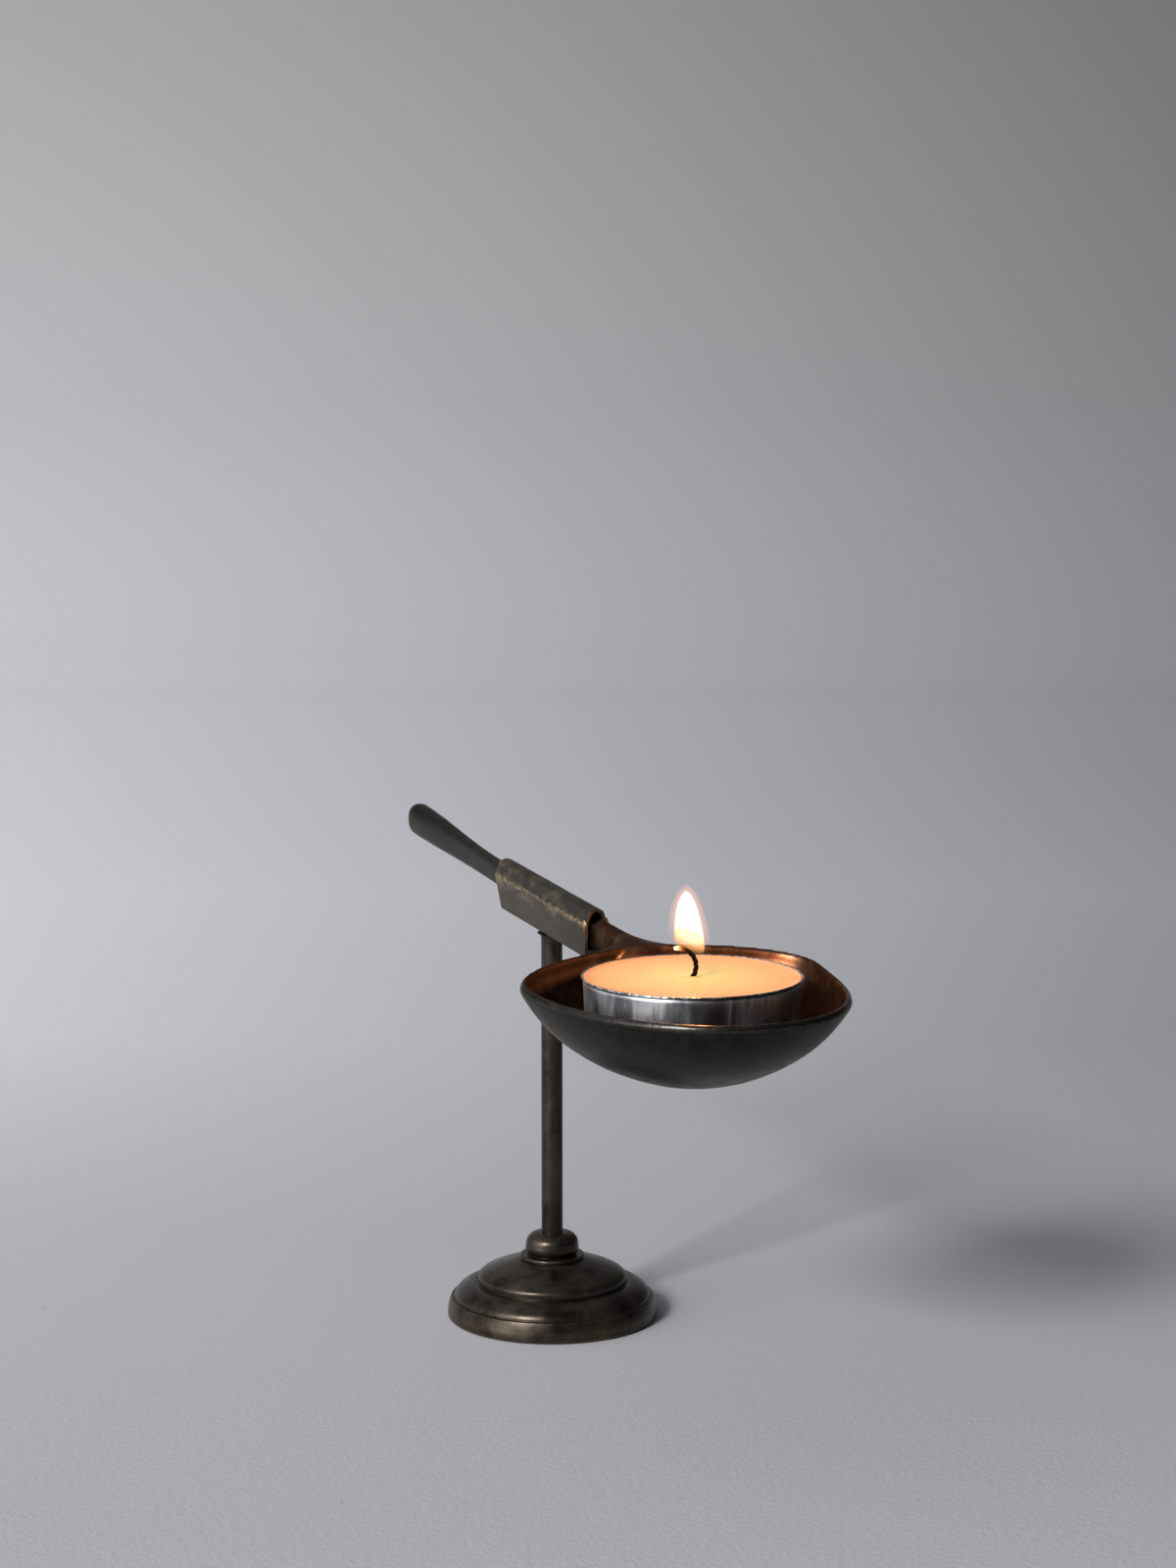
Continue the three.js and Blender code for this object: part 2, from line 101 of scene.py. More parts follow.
def makePiece(name, points, faces, weld=False):
    mesh = bpy.data.meshes.new(name)
    mesh.from_pydata([Vector(p) * mm for p in points], [], faces)
    shape = bmesh.new()
    shape.from_mesh(mesh)
    if weld:
        bmesh.ops.remove_doubles(shape, verts=shape.verts, dist=1e-7)
    bmesh.ops.recalc_face_normals(shape, faces=shape.faces)
    shape.to_mesh(mesh)
    shape.free()
    mesh.shade_smooth()
    piece = bpy.data.objects.new(name, mesh)
    bpy.context.scene.collection.objects.link(piece)
    return piece


def turnOnLathe(profile, facets, centre=(0, 0, 0), shape=None):
    # points and faces of a profile of (radius, height) turned about an upright axis
    points, faces, before = [], [], None
    for radius, height in profile:
        ring = []
        for i in range(facets if radius > 1e-6 else 1):
            angle = 2 * pi * i / facets
            reach, rise = shape(radius, height, angle) if shape else (radius, height)
            ring.append(len(points))
            points.append(Vector(centre) + Vector((
                reach * cos(angle), reach * sin(angle), rise)))
        if before is not None:
            for i in range(facets):
                j = (i + 1) % facets
                corners = list(dict.fromkeys((
                    before[i % len(before)], before[j % len(before)],
                    ring[j % len(ring)], ring[i % len(ring)])))
                if len(corners) > 2:
                    faces.append(corners)
        before = ring
    return points, faces


def skinRings(rings, closeEnds=True):
    # points and faces of a skin over rings that all have the same number of points
    count = len(rings[0])
    points = [p for ring in rings for p in ring]
    faces = []
    for r in range(len(rings) - 1):
        for i in range(count):
            j = (i + 1) % count
            faces.append([r * count + i, r * count + j, (r + 1) * count + j, (r + 1) * count + i])
    if closeEnds:
        for start in (0, (len(rings) - 1) * count):
            middle = sum((points[start + i] for i in range(count)), Vector()) / count
            points.append(middle)
            faces += [[len(points) - 1, start + i, start + (i + 1) % count] for i in range(count)]
    return points, faces


def ringAbout(middle, across, over, count):
    turns = [2 * pi * i / count for i in range(count)]
    return [middle + across * cos(turn) + over * sin(turn) for turn in turns]


def gather(parts):
    # one list of points and one of faces from several
    points, faces = [], []
    for partPoints, partFaces in parts:
        faces += [[len(points) + i for i in face] for face in partFaces]
        points += partPoints
    return points, faces


def breakEdges(piece, width, angle=35):
    # a narrow bevel on sharp edges, in mm
    bevel = piece.modifiers.new("edge break", "BEVEL")
    bevel.width = width * mm
    bevel.segments = 2
    bevel.limit_method = "ANGLE"
    bevel.angle_limit = radians(angle)
    bevel.harden_normals = True


def bakeModifiers(piece):
    graph = bpy.context.evaluated_depsgraph_get()
    mesh = bpy.data.meshes.new_from_object(piece.evaluated_get(graph))
    piece.modifiers.clear()
    piece.data = mesh


def readPoints(mesh, kind=np.float32):
    # places and normals of a mesh's points
    places = np.empty(len(mesh.vertices) * 3, dtype=kind)
    normals = np.empty(len(mesh.vertices) * 3, dtype=np.float32)
    mesh.vertices.foreach_get("co", places)
    mesh.vertices.foreach_get("normal", normals)
    return places.reshape(-1, 3), normals.reshape(-1, 3)


def storeOnPoints(mesh, name, values):
    attribute = mesh.attributes.new(name, "FLOAT", "POINT")
    attribute.data.foreach_set("value", values.astype(np.float32))


def hammerFlats(piece, depth, size):
    # pushes the skin in and out by at most depth mm, in dents about size mm across
    places, normals = readPoints(piece.data)
    dents = np.array([noise.noise(Vector(p) / (size * mm)) for p in places], dtype=np.float32)
    places += normals * dents[:, None] * depth * mm
    piece.data.vertices.foreach_set("co", places.ravel())
    piece.data.update()


def markProud(piece, passes):
    # stores how far each point stands proud of its neighbours, so that edges can wear bright
    mesh = piece.data
    places, normals = readPoints(mesh, np.float64)
    ends = np.empty(len(mesh.edges) * 2, dtype=np.int32)
    mesh.edges.foreach_get("vertices", ends)
    a, b = ends.reshape(-1, 2).T
    step = places[b] - places[a]
    step /= np.maximum(np.linalg.norm(step, axis=1, keepdims=True), 1e-12)
    count = len(places)
    links = np.maximum(np.bincount(a, minlength=count) + np.bincount(b, minlength=count), 1)
    proud = np.bincount(a, -(step * normals[a]).sum(1), count)
    proud += np.bincount(b, (step * normals[b]).sum(1), count)
    proud /= links
    for _ in range(passes):
        around = np.bincount(a, proud[b], count) + np.bincount(b, proud[a], count)
        proud = 0.5 * proud + 0.5 * around / links
    storeOnPoints(mesh, "proud", proud)


def coat(piece, finish):
    piece.data.materials.clear()
    piece.data.materials.append(finish)


def seat(piece, body, finish, slot, *nodes):
    coat(piece, finish)
    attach(piece, body)
    if nodes:
        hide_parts(*nodes)


# Finishes are built from nodes, each in the tree of the sockets that feed it
def openFinish(material):
    tree = material.node_tree
    return tree.nodes["Principled BSDF"], join("TexCoord", {}, "Object", tree)


def startFinish(name):
    # a new finish, its shader and the place on the piece that it colours
    material = bpy.data.materials.new(name)
    material.use_nodes = True
    return material, *openFinish(material)


def dress(node, sockets):
    # sets a node's inputs: each is a value or another node's output
    for key, value in sockets.items():
        if isinstance(value, bpy.types.NodeSocket):
            node.id_data.links.new(value, node.inputs[key])
        else:
            node.inputs[key].default_value = value


def join(kind, inputs, output=0, tree=None, **settings):
    # adds a node and hands back one of its outputs
    tree = tree or next(s.id_data for s in inputs.values() if isinstance(s, bpy.types.NodeSocket))
    made = tree.nodes.new("ShaderNode" + kind)
    for key, value in settings.items():
        setattr(made, key, value)
    dress(made, inputs)
    return made.outputs[output]


def stored(place, name):
    return join("Attribute", {}, "Fac", place.id_data, attribute_name=name)


def alongAxis(place, axis):
    return join("SeparateXYZ", {"Vector": place}, axis)


def measure(kind, a, b=(0, 0, 0)):
    # a length, a distance or a dot product
    return join("VectorMath", {0: a, 1: tuple(b)}, "Value", operation=kind)


def stretched(place, scale):
    return join("Mapping", {"Vector": place, "Scale": scale})


def cloud(place, size, detail=4.0, roughness=0.55, twist=0.0):
    # soft noise whose blotches are about size mm across
    return join("TexNoise", {"Vector": place, "Scale": 1 / (size * mm), "Detail": detail,
                             "Roughness": roughness, "Distortion": twist})


def sumUp(kind, a, b=0.0):
    return join("Math", {0: a, 1: b}, operation=kind)


def plus(a, b):
    return sumUp("ADD", a, b)


def times(a, b):
    return sumUp("MULTIPLY", a, b)


def remap(value, low, high, toLow=0.0, toHigh=1.0):
    return join("MapRange", {
        "Value": value, "From Min": low, "From Max": high, "To Min": toLow, "To Max": toHigh})


def shades(value, stops):
    made = value.id_data.nodes.new("ShaderNodeValToRGB")
    dress(made, {"Fac": value})
    band = made.color_ramp
    while len(band.elements) < len(stops):
        band.elements.new(0.5)
    for element, (place, color) in zip(band.elements, stops):
        element.position = place
        element.color = (*color, 1)
    return made.outputs["Color"]


def blendColor(amount, under, over, kind="MIX"):
    under, over = (color if isinstance(color, bpy.types.NodeSocket) else (*color, 1)
                   for color in (under, over))
    return join("Mix", {0: amount, 6: under, 7: over}, 2, data_type="RGBA", blend_type=kind)


def relief(height, depth, strength, under=None):
    inputs = {"Height": height, "Distance": depth * mm, "Strength": strength}
    if under is not None:
        inputs["Normal"] = under
    return join("Bump", inputs)


# Camera, as the photograph has it
cameraSetup = Settings(place=(-0.2640, -0.6241, 0.2023), tip=81.53, lens=85.0, sensor=36.0)


def placeCamera():
    camera = bpy.data.objects.new("camera", bpy.data.cameras.new("camera"))
    camera.data.lens = cameraSetup.lens
    camera.data.sensor_width = cameraSetup.sensor
    camera.location = cameraSetup.place
    camera.rotation_euler = (radians(cameraSetup.tip), 0, radians(viewTurn))
    camera.data.clip_start = 0.01
    camera.data.clip_end = 20
    bpy.context.scene.collection.objects.link(camera)
    bpy.context.scene.camera = camera


placeCamera()

# Patinated brass: dark skin, lighter where it thins, bare metal where edges are handled
bronzeLook = Settings(
    deep=(0.016, 0.012, 0.009), skin=(0.049, 0.039, 0.030), bare=(0.36, 0.25, 0.14),
    blotch=5.0, grain=0.35, wearFrom=0.05, wearTo=0.22, wearMost=0.32, gloss=0.23, matt=0.40,
    polish=0.06)
ironLook = Settings(
    deep=(0.009, 0.0085, 0.0075), skin=(0.0185, 0.0172, 0.0150), bare=(0.20, 0.185, 0.165),
    blotch=3.0, grain=0.38, wearFrom=0.03, wearTo=0.08, wearMost=0.3, gloss=0.27, matt=0.42,
    polish=0.14)
sheetLook = Settings(
    deep=(0.034, 0.028, 0.022), skin=(0.074, 0.060, 0.046), bare=(0.40, 0.30, 0.17),
    blotch=2.2, grain=0.40, wearFrom=0.05, wearTo=0.18, wearMost=0.3, gloss=0.38, matt=0.58,
    polish=0.06)
patinaSetup = Settings(
    metallic=0.85, thinned=1.5, hollow=0.7, pinprick=0.35, blotchDepth=0.10, grainDepth=0.03,
    markDepth=0.02)


def patina(name, look, marks):
    material, shader, place = startFinish(name)
    blotches = cloud(place, look.blotch, detail=6, roughness=0.62, twist=0.4)
    grain = cloud(place, look.grain, detail=3, roughness=0.7)
    marked = marks(place)
    thinness = plus(remap(blotches, 0.32, 0.68, 0, 0.75), remap(marked, 0.3, 0.7, 0, 0.25))
    thinned = tuple(patinaSetup.thinned * c for c in look.skin)
    color = shades(thinness, [(0.15, look.deep), (0.55, look.skin), (0.95, thinned)])
    proud = stored(place, "proud")
    hollow = remap(proud, -0.04, -0.16, 0, patinaSetup.hollow)
    color = blendColor(hollow, color, look.deep)
    worn, polish = (remap(proud, look.wearFrom, look.wearTo, 0, most)
                    for most in (look.wearMost, look.polish))
    rubbed = times(worn, remap(grain, 0.35, 0.62))
    pinpricks = remap(grain, 0.66, 0.74, 0, patinaSetup.pinprick)
    for bared in (rubbed, pinpricks):
        color = blendColor(bared, color, look.bare)
    dull = remap(blotches, 0.3, 0.7, look.gloss, look.matt)
    bumps = relief(blotches, patinaSetup.blotchDepth, 0.35)
    bumps = relief(grain, patinaSetup.grainDepth, 0.5, bumps)
    bumps = relief(marked, patinaSetup.markDepth, 0.6, bumps)
    dress(shader, {
        "Base Color": color, "Metallic": patinaSetup.metallic,
        "Roughness": sumUp("SUBTRACT", dull, polish), "Normal": bumps})
    return material


def turningMarks(place):
    # fine rings that a lathe tool leaves, following radius and height
    flat = join("VectorMath", {0: place, 1: (1, 1, 0)}, operation="MULTIPLY")
    rings = join("CombineXYZ", {
        "X": measure("LENGTH", flat), "Y": alongAxis(place, "Z")})
    return cloud(rings, 0.45, detail=3, roughness=0.6)


def drawMarks(place):
    # long scratches up a drawn rod
    return cloud(stretched(place, (1, 1, 0.05)), 0.5, detail=3, roughness=0.6)


def forgeMarks(place):
    return cloud(place, 1.1, detail=5, roughness=0.65, twist=0.8)


def filingMarks(place):
    return cloud(stretched(place, (1, 0.12, 1)), 0.6, detail=4, roughness=0.65)


footFinish = patina("turned bronze patina", bronzeLook, turningMarks)
postFinish = patina("drawn rod patina", bronzeLook, drawMarks)
ladleFinish = patina("forged black patina", ironLook, forgeMarks)
sleeveFinish = patina("folded sheet patina", sheetLook, filingMarks)

# Foot, turned from solid
footShape = Settings(
    edgeBreak=0.4, setIn=0.1, bandHeight=3.9, bandPulls=((0.05, 0.3), (-0.28, 0.72)), bandRound=0.7,
    ledge=0.6, waveRadius=14.6, waveHeight=2.8, waveFullness=0.5, waveLean=0.4, domeStep=0.9,
    domeHeight=3.7, domeFullness=0.35, domeLean=0.5, collarRadius=5.9, collarHeight=0.7,
    collarBulge=0.5, neckRadius=4.4, knobRadius=4.95, knobBulge=0.3, knobLow=0.2, knobMiddle=0.45,
    knobHigh=0.85, knobTopRadius=2.7, boreRadius=1.8, boreDepth=8.3, rub=0.09, rubHeight=1.7,
    rubDepth=1.0, bevel=0.12, facets=192)
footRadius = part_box("foot")[1].x / mm
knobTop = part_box("foot")[1].z / mm


def footProfile():
    f = footShape
    waveTop = f.bandHeight + f.waveHeight
    domeFoot = waveTop + f.domeStep
    collarFoot = domeFoot + f.domeHeight
    collarTop = collarFoot + f.collarHeight
    ledgeRadius = footRadius - f.bandRound - f.ledge
    domeEdge = f.waveRadius - f.ledge
    domePull = f.domeFullness * f.domeHeight
    knobMiddle = between(collarTop, knobTop, f.knobMiddle)
    boreFoot = knobTop - f.boreDepth
    path = [(0, 0), (footRadius - f.edgeBreak - f.setIn, 0), (footRadius - f.setIn, f.edgeBreak)]
    curveTo(path, *((footRadius + out, up * f.bandHeight) for out, up in f.bandPulls),
            (footRadius - f.bandRound, f.bandHeight), 20)
    path.append((ledgeRadius, f.bandHeight))
    curveTo(path, (ledgeRadius, f.bandHeight + f.waveFullness * f.waveHeight),
            (between(f.waveRadius, ledgeRadius, f.waveLean), waveTop), (f.waveRadius, waveTop), 20)
    path += [(domeEdge, waveTop), (domeEdge, domeFoot)]
    curveTo(path, (domeEdge, domeFoot + domePull),
            (between(f.collarRadius, domeEdge, f.domeLean), collarFoot - domePull),
            (f.collarRadius, collarFoot), 24)
    bendTo(path, (f.collarRadius + f.collarBulge, between(collarFoot, collarTop, 0.5)),
           (f.collarRadius, collarTop), 8)
    path.append((f.neckRadius, collarTop))
    bendTo(path, (f.knobRadius + f.knobBulge, between(collarTop, knobTop, f.knobLow)),
           (f.knobRadius, knobMiddle))
    bendTo(path, (f.knobRadius, between(knobMiddle, knobTop, f.knobHigh)),
           (f.knobTopRadius, knobTop))
    return path + [(f.boreRadius, knobTop), (f.boreRadius, boreFoot), (0, boreFoot)]


def rubAndHighlightBand(piece):
    # the band's lower half is rubbed where it slides over a table; this extra bare metal is partly
    # wear and partly a painted highlight on the band
    f = footShape
    for point, proud in zip(piece.data.vertices, piece.data.attributes["proud"].data):
        level = abs(point.co.z / mm / f.rubHeight - 1)
        if hypot(point.co.x, point.co.y) > (footRadius - f.rubDepth) * mm:
            # extra wear, which also serves as a painted highlight on the band
            proud.value += f.rub * eased(1 - level)


foot = makePiece("turned_foot", *turnOnLathe(footProfile(), footShape.facets))
markProud(foot, 1)
rubAndHighlightBand(foot)
breakEdges(foot, footShape.bevel)
seat(foot, "stand", footFinish, "bronzed_brass", "foot")
print("foot turned:", len(foot.data.vertices), "points")

# Post: tenon, rod and a flare cut along the sleeve's sloping underside
postShape = Settings(
    radius=2.0, length=57.5, tenonRadius=1.5, tenonLength=8.0, flareRadius=2.7, flareHeight=1.6,
    flarePull=0.2, spare=1.0, bevel=0.08, facets=64)
sleeveTilt = radians(3.45)
postTop = knobTop + postShape.length


def postPiece():
    p = postShape
    flareFoot = postTop - p.flareHeight
    path = [(0, knobTop - p.tenonLength), (p.tenonRadius, knobTop - p.tenonLength),
            (p.tenonRadius, knobTop), (p.radius, knobTop)]
    path += [(p.radius, between(knobTop, flareFoot, t)) for t in steps(8, 1)]
    bendTo(path, (p.radius, postTop - p.flarePull * p.flareHeight), (p.flareRadius, postTop))
    path += [(p.flareRadius, postTop + p.spare), (0, postTop + p.spare)]
    points, faces = turnOnLathe(path, p.facets)
    for point in points:
        point.z = min(point.z, postTop - slipGap + point.y * tan(sleeveTilt))
    return makePiece("round_post", points, faces)


post = postPiece()
markProud(post, 1)
breakEdges(post, postShape.bevel)
seat(post, "stand", postFinish, "bronzed_brass", "post")
print("post set in the foot")

# Sleeve: sheet folded round the handle, in a frame whose origin is on the post's axis
sleeveShape = Settings(
    wall=0.6, floor=1.4, sideGap=0.45, front=20.5, back=23.0, rockPlay=1.35, bevelRun=0.85,
    bevelRise=2.55, roofClearance=0.9, crownRise=0.45, cutRun=3.6, cutRise=4.4,
    foldRadius=0.35, innerRadius=0.2, stations=90, wobble=0.09, ragged=0.12, bevel=0.1,
    bevelAngle=50)
handleShape = Settings(
    width=2.3, depth=4.6, reach=93.0, gripRun=43.0, gripWidth=4.6, gripRise=1.2, gripDrop=0.6,
    gripRound=4.0, neckLength=18.0, ridge=1.62, ridgeHalf=0.6, ridgeStart=-0.6, ridgeRun=3.2,
    flareStart=3.0, neckTopHalf=2.6, neckFootHalf=12.5, neckThickness=1.7, rimLift=1.3,
    neckBite=0.8, squareness=3.8, neckSquareness=2.6, rimSquareness=3.0, endSquareness=2.4,
    webRun=4.4, webFall=6.5, webDepth=2.6, webTopHalf=1.2, webFootHalf=(9, 2.5), facets=48)
sleeveFrame = Matrix.Translation((0, 0, postTop)) @ Matrix.Rotation(sleeveTilt, 4, "X")
sleeveShoulder = (sleeveShape.floor + slipGap + handleShape.depth
                  + sleeveShape.rockPlay + sleeveShape.roofClearance)
handleRock = asin(sleeveShape.rockPlay / (sleeveShape.front + sleeveShape.back))


def foldOutline(inset, radius):
    # five-sided section with rounded folds; the inset moves it inwards
    s = sleeveShape
    half = handleShape.width / 2 + s.sideGap + s.wall - inset
    lean = s.bevelRun / s.bevelRise
    foot = s.floor if inset else 0
    eave = sleeveShoulder - s.bevelRise - inset * lean * 0.5
    shoulder = sleeveShoulder - inset
    shoulderHalf = half - (shoulder - eave) * lean
    corners = [(-half, foot), (half, foot), (half, eave), (shoulderHalf, shoulder),
               (0, shoulder + s.crownRise), (-shoulderHalf, shoulder), (-half, eave)]
    outline = []
    for i, corner in enumerate(corners):
        here = Vector(corner)
        before, after = Vector(corners[i - 1]), Vector(corners[(i + 1) % len(corners)])
        start = here + (before - here).normalized() * radius
        end = here + (after - here).normalized() * radius
        bend = [tuple(start)]
        bendTo(bend, here, end, 5)
        outline += bend
    return outline


def sleevePiece():
    s = sleeveShape
    outer, inner = foldOutline(0, s.foldRadius), foldOutline(s.wall, s.innerRadius)
    rings = []
    for outline, backwards in ((outer, False), (inner, True)):
        stations = steps(s.stations)
        for t in reversed(stations) if backwards else stations:
            ring = []
            for x, z in outline:
                back = s.back - s.cutRun * max(0, 1 - z / s.cutRise)
                y = between(-s.front, back, t)
                wave = noise.noise(Vector((x * 0.3, y * 0.22, z * 0.5))) * s.wobble
                fall = noise.noise(Vector((x + 7, z, t * 2))) * s.ragged * (t in (0, 1))
                ring.append(sleeveFrame @ Vector((x * (1 + 0.2 * wave), y + fall, z + 0.5 * wave)))
            rings.append(ring)
    rings.append(rings[0])
    return makePiece("folded_sleeve", *skinRings(rings, closeEnds=False), weld=True)


eaveLook = Settings(
    gold=(0.32, 0.24, 0.14), goldMost=0.7, soot=(0.026, 0.020, 0.015), sootMost=0.7,
    roof=(0.032, 0.029, 0.025), roofMost=0.6)


def stainAndShadeEave(material):
    # gold rubbed patches under the eaves, darker towards the front end, and painted shade on the
    # roof
    e = eaveLook
    shader, place = openFinish(material)
    up = sleeveFrame.to_3x3() @ Vector((0, 0, 1))
    eave = (sleeveFrame.translation.dot(up) + sleeveShoulder - sleeveShape.bevelRise) * mm
    height = measure("DOT_PRODUCT", place, up)
    patches = cloud(stretched(place, (1, 0.5, 1)), 2.4, detail=4, roughness=0.6)
    under = remap(height, eave - 2.6 * mm, eave - 0.2 * mm)
    golden = times(under, remap(patches, 0.46, 0.60, 0.0, e.goldMost))
    # darker towards the front end
    soot = remap(alongAxis(place, "Y"), -2 * mm, -sleeveShape.front * mm, 0, e.sootMost)
    # painted shade: the roof is darker because less light falls on it
    roof = remap(height, eave + 0.1 * mm, eave + 0.7 * mm, 0, e.roofMost)
    color = shader.inputs["Base Color"].links[0].from_socket
    for amount, stain in ((golden, e.gold), (soot, e.soot), (roof, e.roof)):
        color = blendColor(amount, color, stain)
    dress(shader, {"Base Color": color})


stainAndShadeEave(sleeveFinish)
sleeve = sleevePiece()
markProud(sleeve, 1)
breakEdges(sleeve, sleeveShape.bevel, sleeveShape.bevelAngle)
seat(sleeve, "stand", sleeveFinish, "folded_brass", "sleeve")
print("sleeve folded:", len(sleeve.data.vertices), "points")

# Ladle: handle and egg-shaped bowl fused into one forging
bowlShape = Settings(
    length=55.0, halfWidth=28.5, widestAt=14.8, backFullness=0.4, backReach=0.46, tipReach=0.3,
    tipFullness=0.76, depth=21.0, lowestAt=19.2, wall=0.95, arcRatio=1.12, rimDip=4.1,
    rimDipRun=30.0, neckDip=0.45, neckDipRun=5.0, tipRise=0.15, swell=0.35, swellFrom=0.55,
    swellRun=0.35, voxel=0.3, relax=0.5, relaxPasses=3, dentDepth=0.035, dentSize=4.5,
    facets=144, rings=34, lipFrom=0.97, lipSteep=0.0148,
    lipCurve=(  # fall from the rim, inset and rise
        (2.0, -0.38, 0), (1.6, -0.36, 0), (1.3, -0.30, 0), (1.0, -0.18, 0), (0.75, -0.03, 0),
        (0.5, 0.17, 0), (0.3, 0.38, 0.04), (0.15, 0.58, 0.12), (0.05, 0.78, 0.20), (0, 0.98, 0.26),
        (0, 1.12, 0.22), (0.1, 1.24, 0.08), (0.5, 1.30, 0), (1.0, 1.2, 0), (1.7, 1.02, 0)))
handleFrame = (sleeveFrame
               @ Matrix.Translation((0, -sleeveShape.front, sleeveShape.floor + slipGap))
               @ Matrix.Rotation(handleRock, 4, "X"))
neckTip = Vector((0, -handleShape.neckLength, handleShape.depth + handleShape.rimLift))
bowlFrame = (handleFrame @ Matrix.Translation(neckTip)
             @ Matrix.Rotation(-sleeveTilt - handleRock, 4, "X"))


def barRing(y, topHalf, footHalf, foot, top, squareness):
    # rounded section of a bar whose top and foot differ in width
    ring, power = [], 2 / squareness
    for i in range(handleShape.facets):
        angle = 2 * pi * i / handleShape.facets
        across = copysign(abs(cos(angle)) ** power, cos(angle))
        up = (1 + copysign(abs(sin(angle)) ** power, sin(angle))) / 2
        ring.append(handleFrame @ Vector((
            across * between(footHalf, topHalf, up), y, between(foot, top, up))))
    return ring


def gripRings():
    # the rounded end, then the swelling that fades into the plain bar
    h = handleShape
    middle = (h.depth + h.gripRise - h.gripDrop) / 2
    tall = (h.depth + h.gripRise + h.gripDrop) / 2
    roundStart = h.reach - h.gripRound
    rings = []
    for i in range(12, 0, -1):
        turn = radians(84) * i / 12
        shrink = cos(turn)
        half = shrink * h.gripWidth / 2
        rings.append(barRing(roundStart + h.gripRound * sin(turn), half, half,
                             middle - shrink * tall, middle + shrink * tall, h.endSquareness))
    for t in steps(24):
        swell = eased(1 - t)
        half = between(h.width, h.gripWidth, swell ** 2) / 2
        rings.append(barRing(
            roundStart - (h.gripRun - h.gripRound) * t, half, half,
            -h.gripDrop * swell, h.depth + h.gripRise * swell,
            between(h.squareness, h.endSquareness, swell)))
    return rings


def neckRings():
    # the neck widens towards the rim, with a ridge on top that a web carries into the bowl
    h = handleShape
    half = h.width / 2
    neckEnd = h.neckLength + h.neckBite * bowlShape.wall
    rings = []
    for run in steps(40):
        out = between(h.ridgeStart, neckEnd, run)  # distance in front of the sleeve's mouth
        t = max(0, (out - h.flareStart) / (neckEnd - h.flareStart))
        risen = eased((out - h.ridgeStart) / h.ridgeRun)
        ridge = risen * between(h.ridge, h.rimLift, max(0, out) / neckEnd)
        squareness = between(h.squareness, h.neckSquareness, risen)
        rings.append(barRing(
            -out, between(between(half, h.ridgeHalf, risen), h.neckTopHalf, t ** 1.5),
            between(half, h.neckFootHalf, t ** 2.2),
            between(0, h.depth + h.rimLift - h.neckThickness, eased(t)),
            h.depth + ridge, between(squareness, h.rimSquareness, t)))
    for t in steps(9, 1):
        top = h.depth + h.rimLift - h.webFall * t ** 2
        rings.append(barRing(
            -neckEnd - h.webRun * t, between(h.neckTopHalf, h.webTopHalf, t),
            between(*h.webFootHalf, t), top - h.webDepth, top, h.endSquareness))
    return rings


def rimOutline():
    b = bowlShape
    half = b.halfWidth
    path = [(0, 0)]
    curveTo(path, (0, b.backFullness * half), (b.backReach * b.widestAt, half),
            (b.widestAt, half), b.facets // 4)
    curveTo(path, (between(b.widestAt, b.length, b.tipReach), half),
            (b.length, b.tipFullness * half), (b.length, 0), b.facets // 4)
    return path + [(along, -side) for along, side in path[-2:0:-1]]


def rimHeight(along):
    b = bowlShape
    dip = 1 - (1 - min(along / b.rimDipRun, 1)) ** 2
    tip = b.tipRise * max(along - b.widestAt, 0) / (b.length - b.widestAt)
    return tip - b.rimDip * dip - b.neckDip * exp(-(along / b.neckDipRun) ** 2)


def bowlRing(reach, inset, lift=0.0):
    b = bowlShape
    arc = b.arcRatio - sqrt(b.arcRatio ** 2 - reach ** 2)
    deep = arc / (b.arcRatio - sqrt(b.arcRatio ** 2 - 1))
    ring = []
    for along, side in rimOutline():
        out = Vector((along - b.lowestAt, side))
        out *= (out.length - inset) / out.length
        z = between(inset - b.depth, rimHeight(along), deep) + lift
        ring.append(bowlFrame @ Vector((reach * out.y, -(b.lowestAt + reach * out.x), z)))
    return ring


def ladlePiece():
    b = bowlShape
    reaches = [sin(pi / 2 * i / b.rings) for i in range(1, b.rings + 1)]
    reaches = [reach for reach in reaches if reach < b.lipFrom]
    outside = [bowlRing(reach, -b.swell * eased((reach - b.swellFrom) / b.swellRun))
               for reach in reaches]
    inside = [bowlRing(reach, b.wall) for reach in reversed(reaches)]
    lip = [bowlRing(1 - fall * b.lipSteep, inset, rise) for fall, inset, rise in b.lipCurve]
    return makePiece("forged_ladle", *gather((
        skinRings(gripRings() + neckRings()), skinRings(outside + lip + inside))))


def fuseLadle(piece):
    # fuses handle and bowl into one skin and leaves faint hammer marks
    fuse = piece.modifiers.new("fuse", "REMESH")
    fuse.mode = "VOXEL"
    fuse.voxel_size = bowlShape.voxel * mm
    relax = piece.modifiers.new("relax", "SMOOTH")
    relax.factor = bowlShape.relax
    relax.iterations = bowlShape.relaxPasses
    bakeModifiers(piece)
    hammerFlats(piece, bowlShape.dentDepth, bowlShape.dentSize)
    piece.data.shade_smooth()


